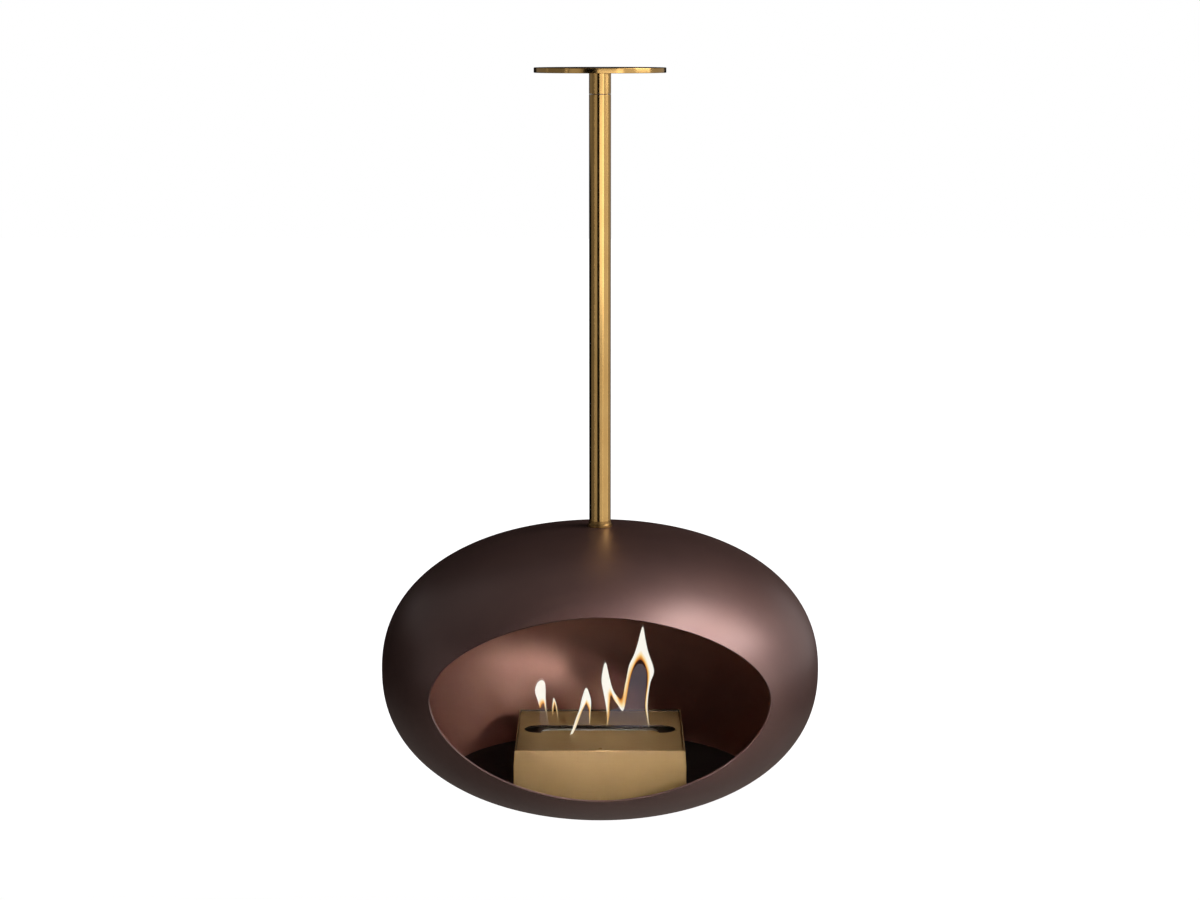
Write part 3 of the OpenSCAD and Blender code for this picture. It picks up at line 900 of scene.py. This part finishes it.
def model_floor_plate():
    """Laser-cut plate with the burner's cut-out, the hand bay and the screw holes."""
    piece = disc(
        "floor_plate_cut",
        0,
        0,
        floor_foot,
        floor_top,
        floor_r - FLOOR_EDGE_RISE,
        corners=256,
        top_radius=floor_r,
        material=BLACK,
    )
    z_low, z_high = floor_foot - PAST, floor_top + PAST
    gap = Vector((CUTOUT_GAP, CUTOUT_GAP, 0))
    cutout_low, cutout_high = casing_low - gap, casing_high + gap
    cut(piece, block("cutout", cutout_low, cutout_high))
    cut(piece, disc("bay", 0, BAY_Y, z_low, z_high, BAY_R, 128))
    for x, y in floor_screw_places() + cradle_screw_places():
        cut(piece, disc("drill", x, y, z_low, z_high, SCREW_HOLE_R, 32))
    ease_edges(piece, 0.3)
    smooth(piece)
    stands_for(piece, "hanging_bowl", "black_coat", "floor_plate")


def model_screws(name, places, node):
    """Pan-head screws with a hexagon socket: one is turned, and then copied."""
    foot = low(node).z
    shaft_r = SCREW_D / 2
    head_r = SCREW_HEAD_D / 2
    head_top = floor_top + SCREW_HEAD_H
    piece = turn(
        name,
        [
            (0, foot),
            (shaft_r - SCREW_TIP, foot),
            (shaft_r, foot + SCREW_TIP),
            (shaft_r, floor_top),
            (head_r, floor_top),
            *((head_r * share, floor_top + rise) for share, rise in SCREW_HEAD_ROUND),
            (0, head_top),
        ],
        SCREW_STEEL,
        corners=48,
        closed=False,
    )
    socket_foot = floor_top + SCREW_HEAD_H / 2
    socket_r = SOCKET_WIDTH / math.sqrt(3)
    cut(piece, disc("socket", 0, 0, socket_foot, head_top + PAST, socket_r, 6))
    ease_edges(piece, 0.12, segments=2)
    with editing(piece):
        bpy.ops.mesh.select_all(action="SELECT")
        bpy.ops.transform.translate(value=(places[0][0] * MM, places[0][1] * MM, 0))
        for before, after in zip(places, places[1:]):
            step = ((after[0] - before[0]) * MM, (after[1] - before[1]) * MM, 0)
            bpy.ops.mesh.duplicate_move(TRANSFORM_OT_translate={"value": step})
    smooth(piece)
    stands_for(piece, "hanging_bowl", "black_steel", node)


# ---- Burner ----


def model_casing():
    """Folded casing: a box whose sides lean in at the top, hollowed out from above."""
    lean_z = casing_high.z - CASING_LEAN_H
    half_w = casing_high.x
    lean = (half_w - CASING_LEAN) / half_w
    half_in = half_w - CASING_WALL
    lean_in = half_in / (half_in - CASING_LEAN)
    lean_h = CASING_LEAN_H * MM
    depth = (lean_z - casing_low.z - CASING_WALL) * MM
    top = Vector((casing_high.x, casing_high.y, lean_z))
    piece = block("casing_folded", casing_low, top, SATIN_BRASS)
    with editing(piece):
        pick(piece, "FACE", lambda f: f.normal.z > 0.9)
        bpy.ops.mesh.extrude_region_move(TRANSFORM_OT_translate={"value": (0, 0, lean_h)})
        bpy.ops.transform.resize(value=(lean, 1, 1), center_override=(0, 0, 0))
        bpy.ops.mesh.inset(thickness=CASING_WALL * MM)
        bpy.ops.mesh.extrude_region_move(TRANSFORM_OT_translate={"value": (0, 0, -lean_h)})
        bpy.ops.transform.resize(value=(lean_in, 1, 1), center_override=(0, 0, 0))
        bpy.ops.mesh.extrude_region_move(TRANSFORM_OT_translate={"value": (0, 0, -depth)})
    ease_edges(piece, 0.6)
    smooth(piece)
    stands_for(piece, "hanging_bowl", "satin_brass", "burner_casing")


def model_burner_plate():
    """Plate let into the casing, with its long slot and the lifting hole."""
    piece = block("burner_plate_cut", burner_plate_low, burner_plate_high, SATIN_BRASS)
    z_low, z_high = burner_plate_low.z - PAST, burner_plate_high.z + PAST
    cut(piece, slot_cutter(SLOT_Y, SLOT_L, SLOT_W, z_low, z_high))
    cut(piece, disc("lift_drill", 0, LIFT_HOLE_Y, z_low, z_high, LIFT_HOLE_R, 48))
    ease_edges(piece, 0.35)
    smooth(piece)
    stands_for(piece, "hanging_bowl", "satin_brass", "burner_plate")


def model_damper():
    """Damper with its two rear corners rounded and a hook hole."""
    piece = block("damper_cut", damper_low, damper_high, SATIN_BRASS)
    middle_y = (damper_low.y + damper_high.y) / 2
    with editing(piece):
        pick(piece, "EDGE", lambda e: upright(e) and middle(e).y > middle_y)
        bpy.ops.mesh.bevel(offset=DAMPER_CORNER_R * MM, segments=16)
    z_low, z_high = damper_low.z - PAST, damper_high.z + PAST
    cut(piece, disc("hook_drill", 0, HOOK_HOLE_Y, z_low, z_high, HOOK_HOLE_R, 48))
    ease_edges(piece, 0.3)
    smooth(piece)
    stands_for(piece, "damper", "satin_brass", "damper_plate")


def model_tank_lid():
    """Top of the tank, with the fire slot."""
    piece = block("tank_lid_cut", lid_low, lid_high, STAINLESS)
    z_low, z_high = lid_low.z - PAST, lid_high.z + PAST
    cut(piece, slot_cutter(FIRE_Y, FIRE_SLOT_L, FIRE_SLOT_W, z_low, z_high))
    ease_edges(piece, 0.25)
    smooth(piece)
    stands_for(piece, "hanging_bowl", "stainless_steel", "tank_lid")


def model_wool():
    """Loose ceramic wool that fills the tank: a rounded block with a lumpy surface."""
    piece = block("wool_fill", wool_low + WOOL_INSET, wool_high - WOOL_INSET, WOOL)
    ease_edges(piece, WOOL_ROUND, segments=4)
    with editing(piece):
        bpy.ops.mesh.select_all(action="SELECT")
        bpy.ops.mesh.subdivide(number_cuts=5)
        bpy.ops.mesh.subdivide(number_cuts=4)
    lumps = bpy.data.textures.new("wool_lumps", "CLOUDS")
    lumps.noise_scale = WOOL_LUMP_W * MM
    apply_modifier(
        piece, "DISPLACE", texture=lumps, strength=WOOL_LUMP_H * MM, mid_level=0.5
    )
    smooth(piece, 60)
    stands_for(piece, "hanging_bowl", "ceramic_wool", "ceramic_wool")


# ---- Flames ----

# A flame is opaque from this heat on, and this many millimetres in from its edge
SOLID_HEAT = 0.22
SOLID_DEPTH = 1.4
HAZE_ALPHA = 0.15


def glow(tree, colour, alpha):
    """Shader of something that gives its own light and lets the rest through."""
    made = add(
        tree,
        "ShaderNodeBsdfPrincipled",
        {
            "Base Color": linear("#000000"),
            "Roughness": 1.0,
            "Specular IOR Level": 0.0,
            "Emission Color": colour,
            "Emission Strength": 1.0,
            "Alpha": alpha,
        },
    )
    return made.outputs["BSDF"]


def flame_body():
    """Burning alcohol vapour, which gives its own light: cream white where it is hottest,
    then yellow and orange, and clear where its heat ends."""
    made, tree = new_material("alcohol_flame")
    heat = add(tree, "ShaderNodeAttribute", attribute_name="hotness").outputs["Fac"]
    to_edge = add(tree, "ShaderNodeAttribute", attribute_name="to_edge").outputs["Fac"]
    solid = add(tree, "ShaderNodeAttribute", attribute_name="solid").outputs["Fac"]
    colour = add(
        tree,
        "ShaderNodeValToRGB",
        {"Fac": heat},
        stops=[
            (0.0, linear("#6b3a26")),
            (0.18, linear("#b8672c")),
            (0.4, linear("#e9a951")),
            (0.65, linear("#f9dda6")),
            (0.95, linear("#fbf7ec")),
        ],
    )
    fades = [
        add(
            tree,
            "ShaderNodeMapRange",
            {"Value": value, "From Max": full},
            interpolation_type="SMOOTHSTEP",
        ).outputs["Result"]
        for value, full in ((heat, SOLID_HEAT), (to_edge, SOLID_DEPTH))
    ]
    edges = add(tree, "ShaderNodeMath", {0: fades[0], 1: fades[1]}, operation="MULTIPLY")
    alpha = add(
        tree, "ShaderNodeMath", {0: edges.outputs["Value"], 1: solid}, operation="MULTIPLY"
    )
    finish_material(tree, glow(tree, colour.outputs["Color"], alpha.outputs["Value"]))
    return made


def flame_haze():
    """Hot vapour inside a flame: a thin grey blue haze."""
    made, tree = new_material("alcohol_vapour")
    solid = add(tree, "ShaderNodeAttribute", attribute_name="solid")
    alpha = add(
        tree,
        "ShaderNodeMath",
        {0: solid.outputs["Fac"], 1: HAZE_ALPHA},
        operation="MULTIPLY",
    )
    finish_material(tree, glow(tree, linear("#867d87"), alpha.outputs["Value"]))
    return made


FLAME = flame_body()
HAZE = flame_haze()

# Stations along each flame: its outer and its inner edge as (x, height above the burner
# plate), the heat at both, how solid it is, and its depth where that isn't FIRE_Y
FLAMES = {
    "flame_round": [
        ((-91.5, 28.0), (-89.5, 27.0), (0.5, 0.2), 0.6),
        ((-94.5, 41.0), (-88.0, 28.5), (1.2, 0.1), 1),
        ((-98.0, 51.0), (-87.5, 29.5), (1.9, 0.1), 1),
        ((-98.8, 60.0), (-86.5, 30.0), (2.3, 0.1), 1),
        ((-95.0, 70.5), (-86.0, 30.5), (2.8, 0.1), 1),
        ((-88.0, 75.0), (-85.5, 30.5), (3.0, 0.1), 1),
        ((-83.0, 70.5), (-85.0, 30.0), (2.8, 0.1), 1),
        ((-81.8, 59.0), (-84.5, 29.5), (2.3, 0.1), 1),
        ((-82.0, 43.5), (-83.5, 28.0), (1.5, 0.3), 1),
        ((-81.0, 28.0), (-82.5, 24.5), (0.9, 0.5), 0.6),
        ((-79.0, 12.5), (-80.0, 12.5), (0.9, 0.7), 0.3),
        ((-76.5, -3.0), (-77.5, -3.0), (0.9, 0.7), 0.1),
    ],
    "flame_small": [
        ((-72.0, 15.0), (-71.0, 15.0), (0.6, 0.4), 0.3),
        ((-72.5, 28.0), (-69.5, 26.5), (0.8, 0.2), 0.8),
        ((-71.5, 38.0), (-68.5, 31.5), (1.0, 0.2), 1),
        ((-70.0, 45.0), (-68.0, 33.5), (1.1, 0.2), 1),
        ((-67.0, 38.0), (-67.5, 31.5), (1.0, 0.2), 1),
        ((-64.5, 28.0), (-66.5, 25.5), (0.8, 0.3), 0.8),
        ((-62.5, 8.5), (-63.5, 8.5), (0.7, 0.5), 0.2),
    ],
    "flame_leaning": [
        ((-45.5, -0.5), (-42.0, -0.5), (1.0, 0.8), 0.9, -22),
        ((-41.5, 6.0), (-37.0, 6.5), (1.0, 0.7), 1, -14),
        ((-36.5, 18.5), (-30.5, 19.0), (1.0, 0.55), 1, 2),
        ((-30.5, 32.5), (-25.5, 28.5), (1.3, 0.3), 1, 16),
        ((-26.0, 48.0), (-23.0, 31.5), (1.8, 0.1), 1, 26),
        ((-21.0, 61.5), (-21.0, 31.5), (2.2, 0.1), 1, 30),
        ((-17.0, 55.0), (-20.0, 30.5), (2.0, 0.1), 1, 30),
        ((-13.5, 43.5), (-18.5, 27.0), (1.6, 0.1), 1, 30),
        ((-13.0, 34.0), (-17.0, 21.5), (1.1, 0.1), 1, 30),
        ((-14.0, 21.5), (-17.0, 15.5), (0.8, 0.3), 0.7, 30),
        ((-15.0, 2.5), (-16.0, 2.5), (0.8, 0.6), 0.2, 30),
    ],
    "flame_double": [
        ((9.0, -1.0), (11.5, -1.0), (0.8, 0.6), 0.15),
        ((10.0, 14.0), (14.5, 15.5), (0.6, 0.35), 0.55),
        ((8.5, 29.5), (15.0, 29.5), (1.2, 0.25), 0.95),
        ((4.5, 51.0), (16.5, 41.0), (1.7, 0.2), 1),
        ((1.0, 75.5), (17.0, 43.5), (2.3, 0.2), 1),
        ((7.0, 104.0), (18.5, 42.0), (2.8, 0.2), 1),
        ((13.0, 80.5), (20.5, 39.5), (2.2, 0.3), 1),
        ((17.5, 62.5), (23.5, 35.5), (1.5, 0.5), 1),
        ((22.5, 51.5), (27.5, 30.5), (0.9, 0.7), 1),
        ((29.0, 45.5), (33.0, 22.0), (0.05, 1.2), 0.9),
        ((34.0, 48.5), (35.5, 22.5), (0.15, 1.1), 0.9),
        ((37.0, 63.5), (38.2, 31.0), (0.7, 0.35), 1),
        ((40.0, 77.5), (40.5, 43.5), (0.85, 0.25), 1),
        ((44.0, 97.0), (43.5, 61.5), (1.0, 0.15), 1),
        ((51.5, 112.5), (47.5, 79.5), (1.3, 0.05), 1),
        ((57.0, 130.0), (52.5, 91.0), (1.9, 0.0), 1),
        ((61.0, 147.5), (57.0, 95.5), (2.5, 0.0), 1),
        ((65.0, 158.5), (60.5, 96.0), (2.8, 0.0), 1),
        ((68.5, 138.0), (64.0, 95.0), (2.5, 0.0), 1),
        ((73.0, 116.5), (67.0, 91.0), (1.9, 0.0), 1),
        ((82.5, 86.5), (69.5, 82.0), (1.9, 0.05), 1),
        ((76.5, 68.0), (70.5, 63.5), (1.5, 0.1), 1),
        ((73.2, 47.0), (68.5, 45.0), (1.2, 0.3), 1),
        ((72.2, 29.0), (67.8, 28.0), (1.0, 0.4), 0.85),
        ((73.5, 11.5), (70.8, 11.5), (0.9, 0.6), 0.5),
        ((75.0, -2.0), (73.0, -2.0), (0.9, 0.7), 0.2),
    ],
}
VAPOURS = {
    "haze_tall": [
        ((10.0, -3.0), (75.0, -3.0), (1, 1), 0.6),
        ((12.0, 10.0), (72.0, 10.0), (1, 1), 0.8),
        ((14.5, 24.0), (68.5, 24.0), (1, 1), 1),
        ((37.5, 34.0), (68.0, 34.0), (1, 1), 1),
        ((40.5, 50.0), (69.0, 50.0), (1, 1), 1),
        ((44.0, 68.0), (70.5, 68.0), (1, 1), 1),
        ((49.0, 85.0), (70.0, 85.0), (1, 1), 1),
        ((56.5, 96.0), (64.0, 96.0), (1, 1), 1),
    ],
    "haze_leaning": [
        ((-41.0, 1.0), (-14.5, 1.0), (1, 1), 0.6),
        ((-33.0, 14.0), (-15.5, 14.0), (1, 1), 0.8),
        ((-26.0, 27.0), (-18.0, 27.0), (1, 1), 0.8),
        ((-22.5, 32.0), (-20.5, 32.0), (1, 1), 0.8),
    ],
    "haze_round": [
        ((-93.0, 1.0), (-77.0, 1.0), (1, 1), 0.4),
        ((-91.5, 14.0), (-80.0, 14.0), (1, 1), 0.5),
        ((-90.5, 28.0), (-83.0, 28.0), (1, 1), 0.5),
    ],
}
# Thickness along a flame's middle, the share of it at the edges, and how far in from its
# outline an edge counts
FLAME_T = 9.0
HAZE_T = 2.0
EDGE_SHARE = 0.08
EDGE_DEPTH = 0.2
STATION_STEPS = 5


def curve_through(rows):
    """Rows of numbers with a smooth curve drawn through them, in STATION_STEPS steps."""
    drawn = []
    for i in range(len(rows) - 1):
        four = (rows[max(0, i - 1)], rows[i], rows[i + 1], rows[min(len(rows) - 1, i + 2)])
        for step in range(STATION_STEPS):
            t = step / STATION_STEPS
            drawn.append(
                [
                    b
                    + t * (c - a) / 2
                    + t**2 * (a - 2.5 * b + 2 * c - 0.5 * d)
                    + t**3 * (1.5 * (b - c) + (d - a) / 2)
                    for a, b, c, d in zip(*four)
                ]
            )
    drawn.append(list(rows[-1]))
    return drawn


def model_flame(name, stations, material, thick):
    """A strip three verts wide, extruded from station to station and thickened most
    along its middle."""
    rows = curve_through(
        [
            (*outer, *inner, *heat, solid, *(depth or (FIRE_Y,)))
            for outer, inner, heat, solid, *depth in stations
        ]
    )
    bpy.ops.object.select_all(action="DESELECT")
    bpy.ops.mesh.primitive_plane_add(size=1)
    piece = named(name, material)
    with editing(piece):
        bpy.ops.mesh.merge(type="CENTER")
        for _ in range(2):
            bpy.ops.mesh.extrude_region_move(TRANSFORM_OT_translate={"value": (1, 0, 0)})
        bpy.ops.mesh.select_all(action="SELECT")
        for _ in rows[1:]:
            bpy.ops.mesh.extrude_region_move()
    shape = bmesh.new()
    shape.from_mesh(piece.data)
    keys = ("hotness", "to_edge", "solid")
    for key in keys:
        shape.verts.layers.float.new(key)
    layers = [shape.verts.layers.float[key] for key in keys]
    middles = []
    for row, ring in zip(rows, in_rings(shape, 3)):
        x_out, z_out, x_in, z_in, heat_out, heat_in, solid, y = row
        width = math.hypot(x_in - x_out, z_in - z_out)
        ring.sort(key=lambda v: v.co.x)
        middles.append(ring[1].index)
        for share, vert in zip((0, 0.5, 1), ring):
            x = x_out + (x_in - x_out) * share
            z = burner_plate_high.z + z_out + (z_in - z_out) * share
            vert.co = Vector((x, y, z)) * MM
            heat = heat_out + (heat_in - heat_out) * share
            to_edge = width * min(share, 1 - share) + EDGE_DEPTH
            for layer, value in zip(layers, (heat, to_edge, solid)):
                vert[layer] = value
    shape.to_mesh(piece.data)
    shape.free()
    thickness = piece.vertex_groups.new(name="thickness")
    thickness.add(range(len(piece.data.vertices)), EDGE_SHARE, "REPLACE")
    thickness.add(middles, 1.0, "REPLACE")
    apply_modifier(
        piece, "SOLIDIFY", thickness=thick * MM, offset=0, vertex_group="thickness"
    )
    apply_modifier(piece, "SUBSURF", levels=1)
    smooth(piece, 180)
    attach(piece, "hanging_bowl")


# ---- The object ----

model_ceiling_plate()
model_dust_cap()
model_sleeve()
model_pole()
model_collar()
model_bowl()
model_floor_plate()
model_screws("floor_screws_turned", floor_screw_places(), "floor_screws")
model_screws("cradle_screws_turned", cradle_screw_places(), "cradle_screws")
model_casing()
model_burner_plate()
model_damper()
model_tank_lid()
model_wool()
for flame_name, flame_stations in FLAMES.items():
    model_flame(flame_name, flame_stations, FLAME, FLAME_T)
for haze_name, haze_stations in VAPOURS.items():
    model_flame(haze_name, haze_stations, HAZE, HAZE_T)


# ---- Stage ----

# The camera in metres, degrees and millimetres, as the photo's outlines give it
CAMERA_PLACE = (0, -4.0, 0.039)
CAMERA_DIP = 8.51
CAMERA_LENS = 82.17
SENSOR_W = 36

# The world's strength for plain light, and the floor. The floor's own glow goes from
# FLOOR_LIFT to 1 between two distances from its middle.
AMBIENT = 0.27
FLOOR_Z = -2.4
FLOOR_SIZE = 60
FLOOR_LIFT = 0.8
LIFT_FROM = 2.0
LIFT_TO = 6.0


def aim(thing, target):
    """Turns a lamp or card so that its -Z side faces a target."""
    way = Vector(target) - thing.location
    thing.rotation_euler = way.to_track_quat("-Z", "Y").to_euler()


def around(azimuth, distance, height):
    """Place round the pole's axis. Azimuth 0 is in front of the mouth and 90 on the right."""
    angle = math.radians(azimuth)
    return Vector((distance * math.sin(angle), -distance * math.cos(angle), height))


def softbox(name, place, target, width, height, radiance, spread_angle=180):
    """Rectangular area lamp that shines with a radiance, which a mirror shows as it is. A
    spread under 180 degrees is a honeycomb grid, which gathers that light in a beam."""
    bpy.ops.object.light_add(type="AREA", location=place)
    lamp = bpy.context.object
    lamp.name = name
    lamp.data.name = name
    lamp.data.shape = "RECTANGLE"
    lamp.data.size = width
    lamp.data.size_y = height
    lamp.data.energy = radiance * math.pi * width * height
    lamp.data.spread = math.radians(spread_angle)
    lamp.visible_camera = False
    aim(lamp, target)


def card(name, place, target, width, height, material):
    """Studio card, which only reflections and bounced light see."""
    bpy.ops.mesh.primitive_plane_add(size=1, location=place)
    piece = named(name, material)
    piece.scale = (width, height, 1)
    piece.visible_camera = False
    piece.visible_shadow = False
    aim(piece, target)


def plain_card(name, colour):
    """Card painted in one matt colour."""
    made, tree = new_material(name)
    shader = add(
        tree,
        "ShaderNodeBsdfPrincipled",
        {"Base Color": linear(colour), "Roughness": 1.0, "Specular IOR Level": 0.0},
    )
    finish_material(tree, shader.outputs["BSDF"])
    return made


def seen_directly(tree):
    """1 for the camera's rays and for those of mirrors and glass, 0 for the others."""
    path = add(tree, "ShaderNodeLightPath")
    total = path.outputs["Is Camera Ray"]
    for ray in ("Is Glossy Ray", "Is Transmission Ray"):
        both = add(
            tree, "ShaderNodeMath", {0: total, 1: path.outputs[ray]}, operation="MAXIMUM"
        )
        total = both.outputs["Value"]
    return total


def model_world():
    """White to the camera and in mirrors, and a dim even grey for all other light."""
    world = bpy.data.worlds.new("studio")
    world.use_nodes = True
    bpy.context.scene.world = world
    tree = world.node_tree
    tree.nodes.clear()
    seen = seen_directly(tree)
    strength = add(
        tree, "ShaderNodeMapRange", {"Value": seen, "To Min": AMBIENT, "To Max": 1.0}
    )
    light = add(
        tree,
        "ShaderNodeBackground",
        {"Color": (1, 1, 1, 1), "Strength": strength.outputs["Result"]},
    )
    add(tree, "ShaderNodeOutputWorld", {"Surface": light.outputs["Background"]})


def model_floor():
    """Pale studio floor well below the bowl. It goes over into the white backdrop far out,
    and keeps the bowl's soft shadow near its middle."""
    made, tree = new_material("studio_floor")
    matt = add(tree, "ShaderNodeBsdfDiffuse", {"Color": linear("#f4f4f4")})
    seen = seen_directly(tree)
    place = add(tree, "ShaderNodeTexCoord").outputs["Object"]
    away = add(tree, "ShaderNodeVectorMath", {0: place}, operation="LENGTH")
    lift = add(
        tree,
        "ShaderNodeMapRange",
        {
            "Value": away.outputs["Value"],
            "From Min": LIFT_FROM,
            "From Max": LIFT_TO,
            "To Min": FLOOR_LIFT,
            "To Max": 1.0,
        },
        interpolation_type="SMOOTHSTEP",
    )
    strength = add(
        tree, "ShaderNodeMath", {0: lift.outputs["Result"], 1: seen}, operation="MULTIPLY"
    )
    bright = add(
        tree,
        "ShaderNodeEmission",
        {"Color": (1, 1, 1, 1), "Strength": strength.outputs["Value"]},
    )
    both = add(
        tree, "ShaderNodeAddShader", {0: matt.outputs["BSDF"], 1: bright.outputs["Emission"]}
    )
    finish_material(tree, both.outputs["Shader"])
    bpy.ops.mesh.primitive_plane_add(size=FLOOR_SIZE, location=(0, 0, FLOOR_Z))
    named("studio_floor", made)


bpy.ops.object.camera_add(
    location=CAMERA_PLACE, rotation=(math.radians(90 - CAMERA_DIP), 0, 0)
)
camera = bpy.context.object
camera.data.lens = CAMERA_LENS
camera.data.sensor_width = SENSOR_W
camera.data.clip_end = 100
bpy.context.scene.camera = camera
bpy.context.scene.view_settings.view_transform = "Standard"

model_world()
model_floor()

BOWL_MIDDLE = (0, 0, bowl_z * MM)
OBJECT_MIDDLE = (0, 0, -0.6)
HEARTH_MIDDLE = (0.025, -0.12, -0.905)
CASING_MIDDLE = (0.07, 0.0, -0.99)
BEAM = 10.5

# Keys on the right, which give the coat its broad shine, and a weak light over all
softbox("key_right", around(80, 2.2, 0.5), BOWL_MIDDLE, 1.4, 1.1, 4.3)
softbox("key_high", around(72, 1.5, 1.5), BOWL_MIDDLE, 1.5, 1.0, 5.5)
softbox("overhead", (0, 0, 2.3), BOWL_MIDDLE, 5.0, 5.0, 0.1)
# Gridded panels that light the hearth and the burner through the mouth
softbox("hearth_panel", around(20, 1.8, -0.42), HEARTH_MIDDLE, 0.28, 0.2, 1.65, BEAM)
softbox("casing_panel", around(10, 2.0, 0.16), CASING_MIDDLE, 0.3, 0.2, 0.58, BEAM)
# Boxes that the pole mirrors as its bright bands
softbox("pole_strip", around(18, 2.8, -0.33), (0, 0, -0.33), 2.26, 0.63, 1.8)
softbox("pole_low", around(14, 2.8, -1.1), (0, 0, -1.1), 1.7, 0.8, 0.7)
softbox("pole_right", around(62, 2.9, -0.55), (0, 0, -0.55), 3.9, 1.8, 0.8)
softbox("pole_left", around(-74, 2.6, -0.45), (0, 0, -0.45), 4.4, 1.5, 0.18)
softbox("pole_left_strip", around(-41, 2.7, -0.5), (0, 0, -0.5), 1.2, 1.5, 0.3)
# Light along the edges of the pole and the bowl
softbox("rim_right", around(118, 2.6, -0.5), (0, 0, -0.5), 2.8, 1.5, 0.38)
softbox("rim_left", around(-122, 2.6, 0.0), (0, 0, 0), 2.0, 0.5, 0.2)
softbox("top_left", around(-110, 2.2, 1.0), BOWL_MIDDLE, 2.4, 1.4, 0.14)
softbox("low_left", around(-55, 1.8, -1.75), BOWL_MIDDLE, 1.6, 0.7, 0.4)

FLAG = plain_card("black_flag", "#0a0908")
LOW_FLAG = plain_card("grey_flag", "#a39c97")
# Dark cards, which give the brass and the coat their dark parts
card("flag_left", around(-100, 3.0, -0.6), OBJECT_MIDDLE, 5.0, 5.0, FLAG)
card("flag_back", around(180, 3.0, -0.6), OBJECT_MIDDLE, 8.0, 5.0, FLAG)
card("flag_right", around(125, 3.0, -0.6), OBJECT_MIDDLE, 4.0, 5.0, FLAG)
card("flag_front", around(-20, 5.0, -0.6), OBJECT_MIDDLE, 8.0, 6.0, FLAG)
card("flag_top", (0, 0, 2.4), (0, 0, 0), 8.0, 8.0, FLAG)
card("flag_low", (0, 0, -1.9), (0, 0, -1.0), 10.0, 10.0, LOW_FLAG)
card("flag_front_right", around(55, 5.0, -0.6), OBJECT_MIDDLE, 7.6, 6.0, FLAG)
